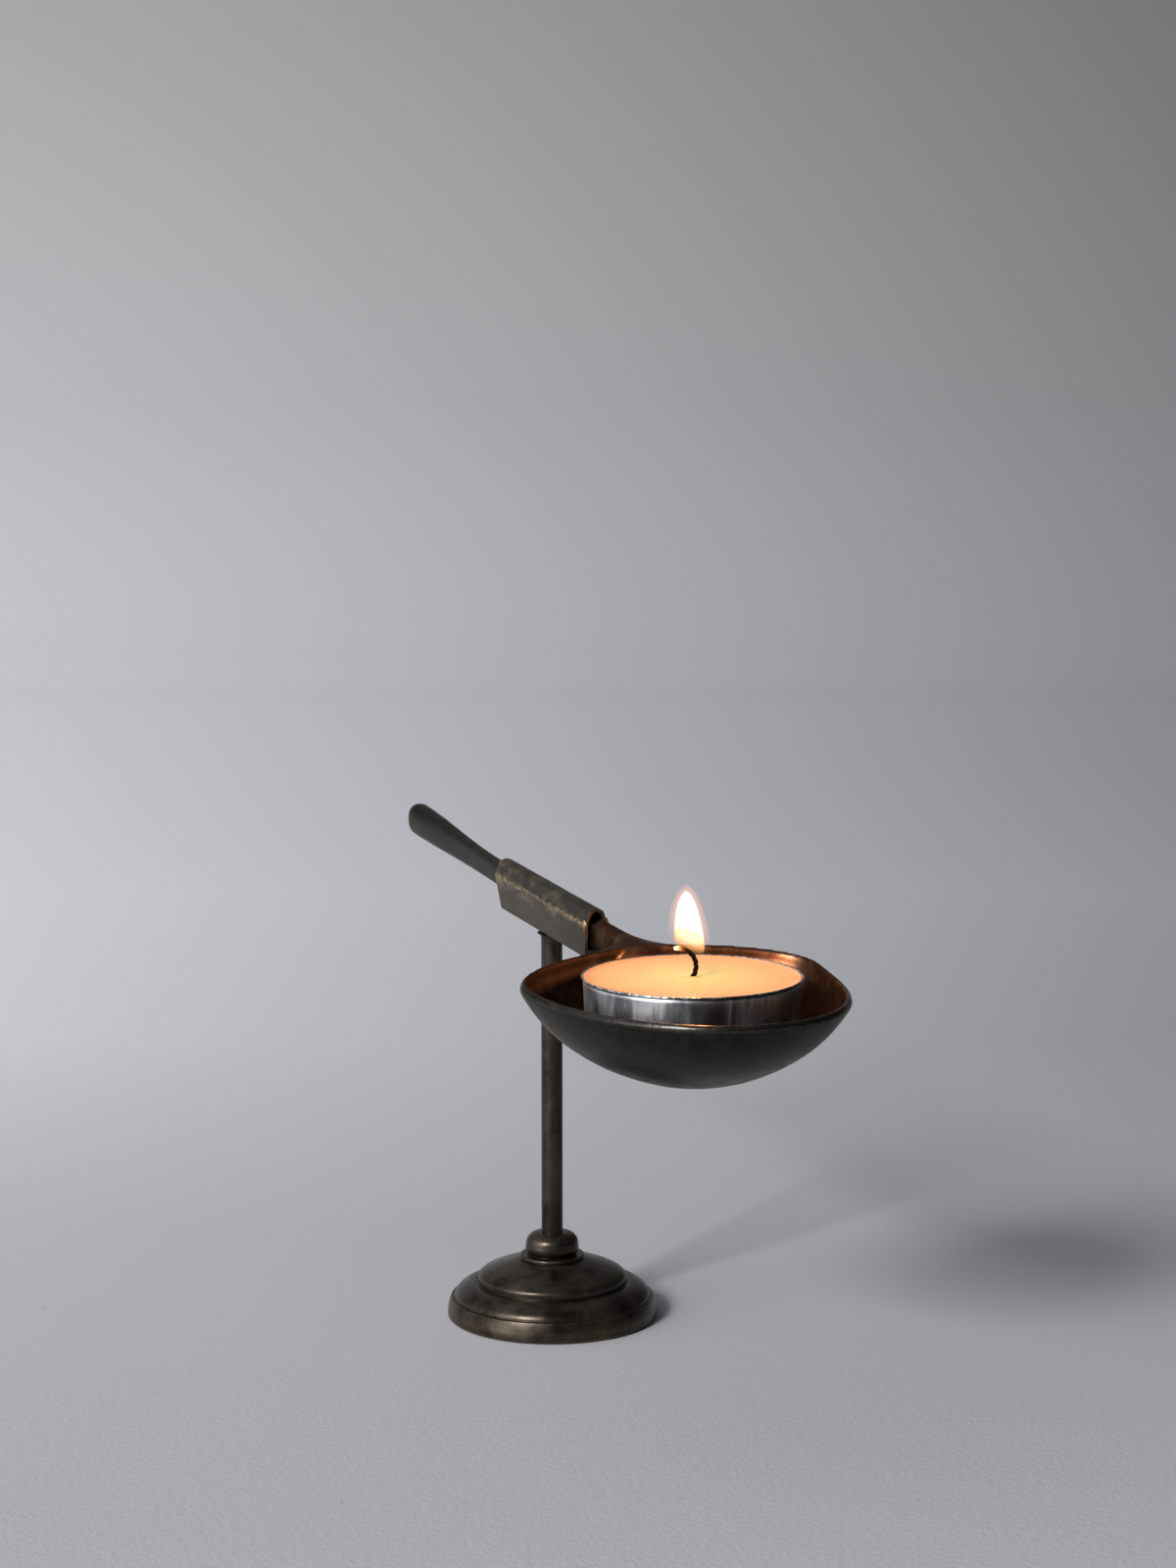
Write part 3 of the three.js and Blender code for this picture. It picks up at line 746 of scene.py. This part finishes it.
def markInside(piece):
    # stores 1 on the skin of the bowl's inside, fading out over the lip and up the neck
    places, normals = readPoints(piece.data)
    toBowl = np.array(bowlFrame.inverted())
    places = (places / mm) @ toBowl[:3, :3].T + toBowl[:3, 3]
    normals = normals @ toBowl[:3, :3].T
    towards = np.array([0, -bowlShape.lowestAt, 6.0]) - places
    towards /= np.linalg.norm(towards, axis=1, keepdims=True)
    facing = np.clip(((towards * normals).sum(1) - 0.05) / 0.4, 0, 1)
    # the neck's upper faces take the redder tint too, as painted glow from the flame
    neckTop = np.clip((normals[:, 2] + 0.8) / 0.4, 0, 1) * np.clip((places[:, 1] + 2) / 3, 0, 1)
    within = np.clip((handleShape.neckLength + 1 - places[:, 1]) / 2, 0, 1)
    storeOnPoints(piece.data, "inside", np.maximum(facing, neckTop) * within)


heatAndGlowLook = Settings(
    deep=(0.012, 0.006, 0.004), skin=(0.040, 0.020, 0.013), worn=(0.100, 0.055, 0.038), patch=3.5,
    gloss=0.20, matt=0.37, sheen=(0.72, 0.57, 0.48), coolSheen=(0.82, 0.79, 0.74))


def tintInsideAndGlow(material):
    # heat has turned the inside a redder, glossier brown; the redder colour is partly real and
    # partly painted candle glow, on the inside and on the neck's top
    h = heatAndGlowLook
    shader, place = openFinish(material)
    inside = stored(place, "inside")
    patches = cloud(place, h.patch, detail=6, roughness=0.68)
    shade = shades(patches, [(0.32, h.deep), (0.5, h.skin), (0.7, h.worn)])
    under, dull = (shader.inputs[name].links[0].from_socket for name in ("Base Color", "Roughness"))
    inner = remap(patches, 0.3, 0.7, h.matt, h.gloss)
    dress(shader, {
        # painted glow: the redder tint partly stands in for the flame's light
        "Base Color": blendColor(inside, under, shade),
        "Roughness": join("Mix", {0: inside, 2: dull, 3: inner}),
        "Specular Tint": blendColor(inside, h.coolSheen, h.sheen)})


tintInsideAndGlow(ladleFinish)
ladle = ladlePiece()
fuseLadle(ladle)
markProud(ladle, 3)
markInside(ladle)
seat(ladle, "ladle", ladleFinish, "blackened_brass", "ladle")
print("ladle forged:", len(ladle.data.vertices), "points")

# Braze that closes the folds: a lumpy bead along each eave, rubbed to bright metal
brazeShape = Settings(
    thin=0.15, thick=0.5, narrow=0.6, tall=1.5, sunk=0.10, lumpEvery=3.1, waver=0.25,
    waverEvery=1.6, frontLump=0.495, frontRun=0.7, frontSet=0.5, stations=150, facets=12)


def brazeBead(side):
    s, b = sleeveShape, brazeShape
    edge = handleShape.width / 2 + s.sideGap + s.wall - b.sunk
    eave = sleeveShoulder - s.bevelRise
    rings = []
    for t in steps(b.stations):
        y = between(-s.front - 0.02, s.back - 0.2, t)
        lump = 0.5 + 0.5 * noise.noise(Vector((y / b.lumpEvery, side * 5, 2.0)))
        lump = 0.6 * lump + 0.4 * abs(sin(pi * y / b.lumpEvery)) * (1 - 0.6 * t)
        radius = between(b.thin, b.thick, lump) * sqrt(max(1e-3, 1 - (2 * t - 1) ** 40))
        front = (y + s.front - b.frontSet) / b.frontRun
        radius += b.frontLump * exp(-front ** 2)
        drop = b.waver * noise.noise(Vector((y / b.waverEvery, 3.0, side)))
        rings.append([sleeveFrame @ point for point in ringAbout(
            Vector((side * edge, y, eave + drop)), Vector((b.narrow * radius, 0, 0)),
            Vector((0, 0, b.tall * radius)), b.facets)])
    return makePiece("braze_bead_left" if side < 0 else "braze_bead_right", *skinRings(rings))


brazeLook = Settings(
    tones=((0.36, (0.05, 0.04, 0.028)), (0.5, (0.20, 0.15, 0.088)), (0.68, (0.46, 0.34, 0.19))),
    metallic=0.9, matt=0.55, gloss=0.3)


def brazeMetal():
    material, shader, place = startFinish("rubbed braze")
    look = brazeLook
    blotches = cloud(place, 1.2, detail=5, roughness=0.65)
    dress(shader, {
        "Base Color": shades(blotches, look.tones), "Metallic": look.metallic,
        "Roughness": remap(blotches, 0.3, 0.7, look.matt, look.gloss),
        "Normal": relief(cloud(place, 0.3), 0.05, 0.6)})
    return material


brazeFinish = brazeMetal()
for side in (-1, 1):
    seat(brazeBead(side), "stand", brazeFinish, "folded_brass")
print("eaves brazed")

# Tealight: drawn cup with a rolled rim, wax, tab and wick
cupLow, cupHigh = (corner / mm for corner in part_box("candle_cup"))
cupAxis = Vector(((cupLow.x + cupHigh.x) / 2, (cupLow.y + cupHigh.y) / 2, cupLow.z))
cupShape = Settings(
    height=cupHigh.z - cupLow.z, rimRadius=(cupHigh.x - cupLow.x) / 2, topRadius=18.7,
    footRadius=18.2, footRound=0.8, wall=0.2, bead=0.18, beadTurn=(-70, 140), tuck=0.14,
    tuckRun=0.16, mouthDrop=0.25, dent=0.13, flute=0.02, pleatEvery=130 / 6, pleat=0.10, facets=360)
waxShape = Settings(
    drop=0.38, climb=0.26, run=2.2, ripple=0.02, poolEnd=2.2, mound=0.25, moundRun=0.6,
    footInset=0.2, boreGap=0.05, facets=144,
    tabRoom=((1.45, 3.2), (1.45, 1.35), (2.05, 0.75), (6.3, 0.75), (6.3, 0)))  # radius and height
wickShape = Settings(
    radius=0.46, stand=5.3, slack=1.2, curl=3.2, curlRise=0.95, bow=1.6, crest=-0.3, strands=3,
    strandPart=0.54, pitch=2.6, fray=0.25, frayFrom=0.6, tipFrom=0.97, facets=10, stations=110)
waxTop = cupShape.height - waxShape.drop
waxFoot = cupShape.wall + slipGap
cupInside = cupShape.footRadius - cupShape.wall
wickTurn = Matrix.Rotation(radians(viewTurn), 4, "Z")  # the wick curls across the view
wickFrame = Matrix.Translation(cupAxis) @ wickTurn


def cupPiece():
    c = cupShape
    beadFoot = c.height - 2 * c.bead
    path = [(0, 0), (c.footRadius - c.footRound, 0)]
    bendTo(path, (c.footRadius, 0), (c.footRadius, c.footRound), 6)
    path += [(between(c.footRadius, c.topRadius, t),
              between(c.footRound, beadFoot - c.tuckRun, t)) for t in steps(14, 1)]
    path.append((c.topRadius - c.tuck, beadFoot - c.tuckRun / 4))
    for t in steps(10):
        angle = radians(between(*c.beadTurn, t))
        path.append((c.rimRadius + c.bead * (cos(angle) - 1), c.height + c.bead * (sin(angle) - 1)))
    path += [(c.topRadius - c.wall, c.height - c.mouthDrop),
             (cupInside, c.wall + c.footRound / 2),
             (cupInside - c.footRound / 2, c.wall), (0, c.wall)]

    def crumple(radius, height, angle):
        # thin metal: shallow dents and fine flutes on the side, pleats round the roll
        if radius < cupInside + 0.05:
            return radius, height
        spot = Vector((cos(angle), sin(angle), 0))
        side = eased(height / 2) * (1 - eased(height - 9))
        dents = -abs(noise.noise(spot * 3.1 + Vector((3, 1, height * 0.09)))) * c.dent
        dents += noise.noise(spot * 25 + Vector((0, 0, height * 0.08))) * c.flute
        pleat = 0
        if height > beadFoot - 0.1:
            pleat = abs(noise.noise(spot * c.pleatEvery + Vector((9, 0, 0)))) * c.pleat
        return radius + dents * side - pleat, height - 0.6 * pleat

    return makePiece("tealight_cup", *turnOnLathe(path, c.facets, cupAxis, crumple))


tinLook = Settings(
    tones=((0.40, (0.22, 0.226, 0.242)), (0.5, (0.32, 0.326, 0.342)), (0.58, (0.56, 0.57, 0.59))),
    glints=((0.44, (0.10, 0.10, 0.11)), (0.5, (0.32, 0.32, 0.33)), (0.56, (0.90, 0.90, 0.90))),
    dirt=(0.03, 0.028, 0.03), dirtMost=0.92, streaked=0.25, gloss=0.30, matt=0.46, polish=0.16)


def drawnTin():
    # streaks drawn up the side, painted shade in the crease under the roll and glints on it
    material, shader, place = startFinish("drawn aluminium")
    look = tinLook
    fromAxis = join("VectorMath", {0: place, 1: tuple(cupAxis * mm)}, operation="SUBTRACT")
    streaks = cloud(stretched(fromAxis, (1, 1, 0.07)), 0.9, 5, 0.75, 0.3)
    broad = cloud(stretched(fromAxis, (1, 1, 0.5)), 8.0, detail=5, twist=0.6)
    tone = plus(times(streaks, look.streaked), times(broad, 1 - look.streaked))
    height = alongAxis(fromAxis, "Z")
    tuck = (cupShape.height - 2 * cupShape.bead) * mm
    # painted shade: a dark line where the roll tucks in
    creaseShadeMask = times(remap(height, tuck - 0.40 * mm, tuck - 0.15 * mm),
                   remap(height, tuck + 0.14 * mm, tuck, 0, look.dirtMost))
    rolled = remap(height, tuck, tuck + 0.12 * mm)
    glints = shades(cloud(place, 0.8, detail=4, roughness=0.8), look.glints)
    color = blendColor(rolled, shades(tone, look.tones), glints)
    dull = remap(tone, 0.4, 0.6, look.gloss, look.matt)
    dress(shader, {
        "Base Color": blendColor(creaseShadeMask, color, look.dirt), "Metallic": 1.0,
        "Roughness": sumUp("SUBTRACT", dull, times(rolled, look.polish)),
        "Normal": relief(streaks, 0.03, 0.5)})
    return material


seat(cupPiece(), "candle", drawnTin(), "thin_aluminium", "candle_cup")


def waxPiece():
    # a level pool that climbs at the cup and at the wick, hollow below for the wick's tab
    c, w = cupShape, waxShape
    wickBore = wickShape.radius + w.boreGap
    edge = c.topRadius - c.wall - w.ripple
    tabRoom = [(radius, waxFoot + rise) for radius, rise in w.tabRoom]
    path = [tabRoom[-1], (cupInside - c.footRound, waxFoot),
            (cupInside - w.footInset, c.wall + c.footRound), (edge, waxTop + w.climb)]
    bendTo(path, (edge - w.run / 4, waxTop + w.ripple), (edge - w.run, waxTop - w.ripple))
    for t in steps(12, 1):
        radius = between(edge - w.run, w.poolEnd, t)
        path.append((radius, waxTop + w.ripple * sin(radius * 1.3)))
    bendTo(path, (wickBore + w.moundRun, waxTop), (wickBore, waxTop + w.mound), 6)
    path += [(wickBore, tabRoom[0][1]), *tabRoom]
    return makePiece("wax_pool", *turnOnLathe(path, w.facets, cupAxis))


waxLook = Settings(
    skin=(0.52, 0.32, 0.155, 1), depth=2.5, spread=(1.0, 0.55, 0.25), scattered=0.35, dull=0.32,
    glowReach=20.0, glowStrength=0.55, haze=7.0,
    glow=((0.0, (1.0, 0.40, 0.10)), (0.06, (1.0, 0.80, 0.21)), (0.3, (1.0, 0.66, 0.15)),
          (0.7, (1.0, 0.42, 0.09)), (0.86, (1.0, 0.34, 0.065)), (0.92, (1.0, 0.20, 0.03))))


def glowingWax():
    # wax lit from inside by the flame: brightest and yellowest round the wick
    material, shader, place = startFinish("lit wax")
    look = waxLook
    away = measure("DISTANCE", place, (cupAxis + Vector((0, 0, waxTop))) * mm)
    haze = cloud(place, look.haze, detail=3)
    far = plus(remap(away, 0, look.glowReach * mm), remap(haze, 0.3, 0.7, -0.07, 0.07))
    dress(shader, {
        "Emission Color": shades(far, look.glow),
        "Emission Strength": look.glowStrength, "Base Color": look.skin,
        "Subsurface Weight": look.scattered, "Subsurface Radius": look.spread,
        "Subsurface Scale": look.depth * mm, "Roughness": look.dull,
        "Normal": relief(haze, 0.15, 0.4)})
    return material


seat(waxPiece(), "candle", glowingWax(), "wax", "candle_wax")


def wickPath(t):
    # place and direction along the wick, from its foot in the tab to its burnt tip
    w = wickShape
    straight = (waxTop - waxFoot) / (waxTop - waxFoot + w.stand * w.slack)  # share in the wax
    if t <= straight:
        return Vector((0, 0, between(waxFoot, waxTop, t / straight))), Vector((0, 0, 1))
    u = (t - straight) / (1 - straight)
    a, b, c, d = (Vector((across, 0, waxTop + rise * w.stand)) for across, rise in (
        (0, 0), (w.bow, 0.5), (w.crest, 1), (-w.curl, w.curlRise)))
    place = a * (1 - u) ** 3 + b * 3 * u * (1 - u) ** 2 + c * 3 * u * u * (1 - u) + d * u ** 3
    along = (b - a) * (1 - u) ** 2 + (c - b) * 2 * u * (1 - u) + (d - c) * u * u
    return place, along.normalized()


def wickPiece():
    w = wickShape
    length = waxTop + w.stand * w.slack
    sideways = Vector((0, 1, 0))
    strands = []
    for strand in range(w.strands):
        rings = []
        for t in steps(w.stations):
            middle, along = wickPath(t)
            over = along.cross(sideways)
            spin = 2 * pi * (length * t / w.pitch + strand / w.strands)
            orbit = w.radius * (1 - w.strandPart)
            middle += (sideways * cos(spin) + over * sin(spin)) * orbit
            fray = 1 + w.fray * noise.noise(Vector((t * 40, strand, 0))) * (t > w.frayFrom)
            tip = max(0, t - w.tipFrom) / (1 - w.tipFrom)
            half = w.radius * w.strandPart * sqrt(max(0.02, 1 - tip)) * fray
            rings.append([wickFrame @ point for point in ringAbout(
                middle, sideways * half, over * half, w.facets)])
        strands.append(skinRings(rings))
    return makePiece("braided_wick", *gather(strands))


cottonLook = Settings(
    fibres=((0.35, (0.002, 0.001, 0.001)), (0.7, (0.010, 0.004, 0.003))),
    ember=((0.40, (0, 0, 0)), (0.56, (0.020, 0.004, 0.001)), (0.70, (0.13, 0.030, 0.006)),
           (0.84, (0.42, 0.17, 0.035)), (0.94, (1.0, 0.75, 0.42))),
    emberFrom=4.2, emberFull=0.3, emberStrength=3.0)


def charredCotton():
    # black fibres that still glow at the tip
    material, shader, place = startFinish("charred cotton")
    look = cottonLook
    fibres = cloud(place, 0.18, detail=4, roughness=0.7)
    near = measure("DISTANCE", place, (wickFrame @ wickPath(1)[0]) * mm)
    ember = plus(remap(near, look.emberFrom * mm, look.emberFull * mm),
                 remap(fibres, 0.3, 0.7, -0.08, 0.08))
    dress(shader, {
        "Base Color": shades(fibres, look.fibres), "Roughness": 0.9,
        "Specular IOR Level": 0.1, "Emission Color": shades(ember, look.ember),
        "Emission Strength": look.emberStrength, "Normal": relief(fibres, 0.06, 0.8)})
    return material


seat(wickPiece(), "candle", charredCotton(), "wick_cotton", "wick")


def pressedTin():
    material, shader, place = startFinish("pressed tin")
    scuffs = cloud(place, 0.8, detail=5, roughness=0.7)
    color = shades(scuffs, [(0.3, (0.45, 0.45, 0.46)), (0.7, (0.75, 0.75, 0.76))])
    dress(shader, {
        "Base Color": color, "Metallic": 1.0, "Roughness": remap(scuffs, 0.3, 0.7, 0.5, 0.3),
        "Normal": relief(scuffs, 0.03, 0.4)})
    return material


coat(frame["nodes"]["wick_tab"], pressedTin())
print("tealight set in the bowl")

# Flame: a bright core inside a thin warm mantle, leaning off the wick
flameShape = Settings(
    foot=5.0, height=9.75, width=5.1, footLean=-0.5, tipLean=-1.1, drift=0.8, slant=(0.35, 0.5),
    under=0.9, footPull=0.7, fullness=1.5, taper=1.6, tipThinned=0.3, halo=0.22, haloGrowth=1.5,
    halos=3, facets=48)
flameFoot = cupAxis + Vector((0, 0, waxTop + flameShape.foot))


def flameSkin(grow):
    # a bullet of fire whose broad foot slants up towards the wick's burnt end
    f = flameShape
    height, half = f.height + grow, f.width / 2 + grow
    path = [(0, -grow)]
    curveTo(path, (half * f.footPull, -grow), (half, -grow / 2), (half, f.under))
    for t in steps(40, 1):
        down = (1 - t) ** f.taper  # 1 at the widest, 0 at the tip
        wide = sqrt(1 - (1 - down) ** f.fullness) * (1 - f.tipThinned * (1 - down) ** 12)
        path.append((half * wide, between(height, f.under, down)))
    path[-1] = (0, height)
    points, faces = turnOnLathe(path, f.facets)
    for point in points:
        risen = eased(point.z / height)
        point.x += between(f.footLean, f.tipLean, risen)
        point.y += between(f.drift, f.drift / 2, risen)
        point.z -= (point.x * f.slant[0] + point.y * f.slant[1]) * (1 - risen)
    return [flameFoot + wickTurn @ point for point in points], faces


flameLook = Settings(
    core=((0.0, (0.75, 0.32, 0.14)), (0.08, (0.90, 0.40, 0.14)), (0.15, (0.92, 0.50, 0.20)),
          (0.22, (1.0, 0.74, 0.42)), (0.31, (1.0, 0.96, 0.87))),
    coreSolid=((0.0, 0.0), (0.02, 0.09), (0.08, 0.32), (0.16, 0.66), (0.22, 1.0)),
    glow=((0.0, (1.0, 0.40, 0.22)), (0.4, (1.0, 0.50, 0.34)), (1.0, (1.0, 0.46, 0.30))),
    glowSolid=((0.08, 0.0), (0.22, 0.02), (0.4, 0.05), (0.9, 0.055)),
    coreStrength=1.6, glowStrength=2.2)


def burningGas(name, strength, colors, solidness):
    # colors and solidness follow the slant of the flame's foot
    material, shader, place = startFinish(name)
    up = wickTurn @ Vector((*flameShape.slant, 1))
    foot = up.dot(flameFoot) * mm
    rise = remap(measure("DOT_PRODUCT", place, up), foot, foot + flameShape.height * mm)
    dress(shader, {
        "Emission Color": shades(rise, colors), "Emission Strength": strength,
        "Alpha": shades(rise, [(at, (value,) * 3) for at, value in solidness]),
        "Base Color": (0, 0, 0, 1), "Specular IOR Level": 0.0, "Roughness": 1.0})
    return material


flameCore = makePiece("flame_core", *flameSkin(0))
flameHalo = makePiece("flame_halo", *gather([
    flameSkin(flameShape.halo * (i + 1) ** flameShape.haloGrowth)
    for i in range(flameShape.halos)]))
seat(flameCore, "candle", burningGas("white of the flame", flameLook.coreStrength,
                                     flameLook.core, flameLook.coreSolid), "wax")
seat(flameHalo, "candle", burningGas("glow round the flame", flameLook.glowStrength,
                                     flameLook.glow, flameLook.glowSolid), "wax")
for gas in (flameCore, flameHalo):
    gas.visible_shadow = False
print("flame lit")

# Floor and backdrop in one sweep, turned to the photograph's view
sweepShape = Settings(
    floor=(-3.0, -1.0, -0.4, 0.0, 0.3, 0.6, 0.95), bend=0.6, top=2.4, halfWidth=3.2)


def sweepPiece():
    # metres here, along the view: the floor's cuts, a quarter bend and the wall
    w = sweepShape
    path = [(away, 0.0) for away in w.floor]
    for t in steps(24, 1):
        angle = pi / 2 * t
        path.append((w.floor[-1] + w.bend * sin(angle), w.bend * (1 - cos(angle))))
    path.append((w.floor[-1] + w.bend, w.top))
    points = [Vector((x, y, z)) / mm for y, z in path for x in (-w.halfWidth, w.halfWidth)]
    faces = [[2 * i, 2 * i + 1, 2 * i + 3, 2 * i + 2] for i in range(len(path) - 1)]
    sweep = makePiece("floor_sweep", points, faces)
    sweep.rotation_euler.z = radians(viewTurn)
    return sweep


# painted light: a broad bright sheen on the floor that darkens up the wall, cool below and warmer
# above
plasterAndPaintedLightLook = Settings(
    tones=((0.06, 0.38), (0.12, 0.425), (0.18, 0.54), (0.25, 0.65), (0.40, 0.72), (0.43, 0.705),
           (0.45, 0.66), (0.57, 0.485), (0.72, 0.345), (0.90, 0.25)),
    cool=(1.0, 1.013, 1.065), warm=(1.0, 0.99, 0.98), warmFrom=0.45, warmRun=0.3,
    steeps=((0.06, 0.0), (0.12, 1.05), (0.18, 2.2), (0.25, 1.8), (0.34, 1.6), (0.45, 1.25),
            (0.57, 1.1), (0.72, 1.0)), steepest=2.5, grain=1.3, worn=(0.16, 0.16, 0.17),
    crumbEvery=16.0, crumb=(0.10, 0.095, 0.09))


def paintedLightTone(at, tone):
    look = plasterAndPaintedLightLook
    warmth = max(0, min(1, (at - look.warmFrom) / look.warmRun))
    return tuple(tone * between(*tints, warmth) for tints in zip(look.cool, look.warm))


def plasterWithPaintedLight():
    material, shader, place = startFinish("plaster with painted light")
    look = plasterAndPaintedLightLook
    x, y, z = (alongAxis(place, axis) for axis in "XYZ")
    away = remap(plus(y, z), -0.3, 2.7)
    # painted light: brightness that rises from the near floor and darkens up the wall
    shade = shades(away, [(at, paintedLightTone(at, tone)) for at, tone in look.tones])
    # the painted light falls off to the right, most steeply where the floor is near
    lightFalloffSteep = shades(away, [(at, (k / look.steepest,) * 3) for at, k in look.steeps])
    across = remap(x, -0.4, 0.7, -0.4, 0.7)
    bent = times(across, remap(across, -1, 1, -0.625, -4.375))
    lightFalloff = sumUp("EXPONENT", times(lightFalloffSteep, bent))
    color = join("VectorMath", {0: shade, 3: lightFalloff}, operation="SCALE")
    grain = cloud(place, look.grain, detail=4, roughness=0.65, twist=0.3)
    color = blendColor(remap(grain, 0.3, 0.7, 0.06, 0), color, look.worn)
    cells = {"Vector": place, "Scale": 1 / (look.crumbEvery * mm)}  # a few crumbs of dirt
    near, cell = (join("TexVoronoi", cells, output) for output in ("Distance", "Color"))
    chosen = join("SeparateColor", {"Color": cell}, "Red")
    dirty = times(remap(near, 0.018, 0.008), remap(chosen, 0.86, 0.9))
    rough = remap(away, 0.055, 0.10, 0.45, 0.08)  # finer finish further back
    dress(shader, {
        "Base Color": blendColor(dirty, color, look.crumb), "Roughness": 0.9,
        "Specular IOR Level": 0.2, "Normal": relief(grain, 0.4, rough)})
    return material


sweep = sweepPiece()
coat(sweep, plasterWithPaintedLight())
print("floor and backdrop laid")

# Lamps: a soft window on the left, behind the camera, a sky that is brighter there, and the flame
lightSetup = Settings(
    side=-36.0, rise=30.0, far=1.5, aim=(0, -0.03, 0.05), size=0.32, power=23.4,
    color=(1.0, 0.985, 0.97), flame=0.095, flameColor=(1.0, 0.52, 0.20), flameSize=2.5,
    selfLit=("wax_pool", "braided_wick", "flame_core", "flame_halo"), skyTurn=-100.0,
    skyRise=0.12, skyStrength=0.78, paneTurn=-54.0, paneRise=0.26, paneStrength=4.0,
    pane=(1.0, 1.0, 1.02), seen=(0.48, 0.485, 0.51),
    sky=((0.0, (0.03, 0.03, 0.033)), (0.3, (0.10, 0.10, 0.107)), (0.55, (0.42, 0.43, 0.445)),
         (0.8, (0.86, 0.88, 0.915)), (1.0, (1.05, 1.07, 1.11))))


def hangLamp(name, kind, energy, color, place, **settings):
    light = bpy.data.lights.new(name, kind)
    light.energy, light.color = energy, color
    for key, value in settings.items():
        setattr(light, key, value)
    lamp = bpy.data.objects.new(name, light)
    lamp.location = place
    bpy.context.scene.collection.objects.link(lamp)
    return lamp


def hangLamps():
    setup = lightSetup
    turn, rise = radians(viewTurn + setup.side), radians(setup.rise)
    towards = Vector((sin(turn) * cos(rise), -cos(turn) * cos(rise), sin(rise)))
    window = hangLamp("window", "AREA", setup.power, setup.color,
                      Vector(setup.aim) + towards * setup.far, shape="SQUARE", size=setup.size)
    window.rotation_euler = towards.to_track_quat("Z", "Y").to_euler()
    heart = flameFoot + Vector((0, 0, flameShape.height / 2))
    glow = hangLamp("candle light", "POINT", setup.flame, setup.flameColor, heart * mm,
                    shadow_soft_size=setup.flameSize * mm)
    glow.parent = flameCore
    lit = bpy.data.collections.new("lit by the flame")  # the wax glows by itself
    for piece in bpy.context.scene.objects:
        if piece.type == "MESH" and piece.name not in setup.selfLit:
            lit.objects.link(piece)
    glow.light_linking.receiver_collection = lit


def skySide(way, turn, rise):
    # how far a direction points towards a side of the room
    turn = radians(viewTurn + turn)
    return measure("DOT_PRODUCT", way, (sin(turn), -cos(turn), rise))


def paintSky():
    # daylight from the window's side, a dim room on the other
    setup = lightSetup
    sky = bpy.data.worlds.new("studio air")
    sky.use_nodes = True
    way = join("TexCoord", {}, "Generated", sky.node_tree)
    side = skySide(way, setup.skyTurn, setup.skyRise)
    base = shades(remap(side, -1, 1), setup.sky)
    facing = skySide(way, setup.paneTurn, setup.paneRise)
    pane = remap(facing, 0.93, 1.0, 0, setup.paneStrength)
    bright = join("VectorMath", {0: setup.pane, 3: pane}, operation="SCALE")
    seen = join("LightPath", {}, "Is Camera Ray", sky.node_tree)
    around = blendColor(1.0, base, bright, "ADD")
    dress(sky.node_tree.nodes["Background"], {
        "Color": blendColor(seen, around, setup.seen), "Strength": setup.skyStrength})
    bpy.context.scene.world = sky


hangLamps()
paintSky()
bpy.context.scene.view_settings.view_transform = "Standard"
print("lamps hung")

print("candle stand: done")
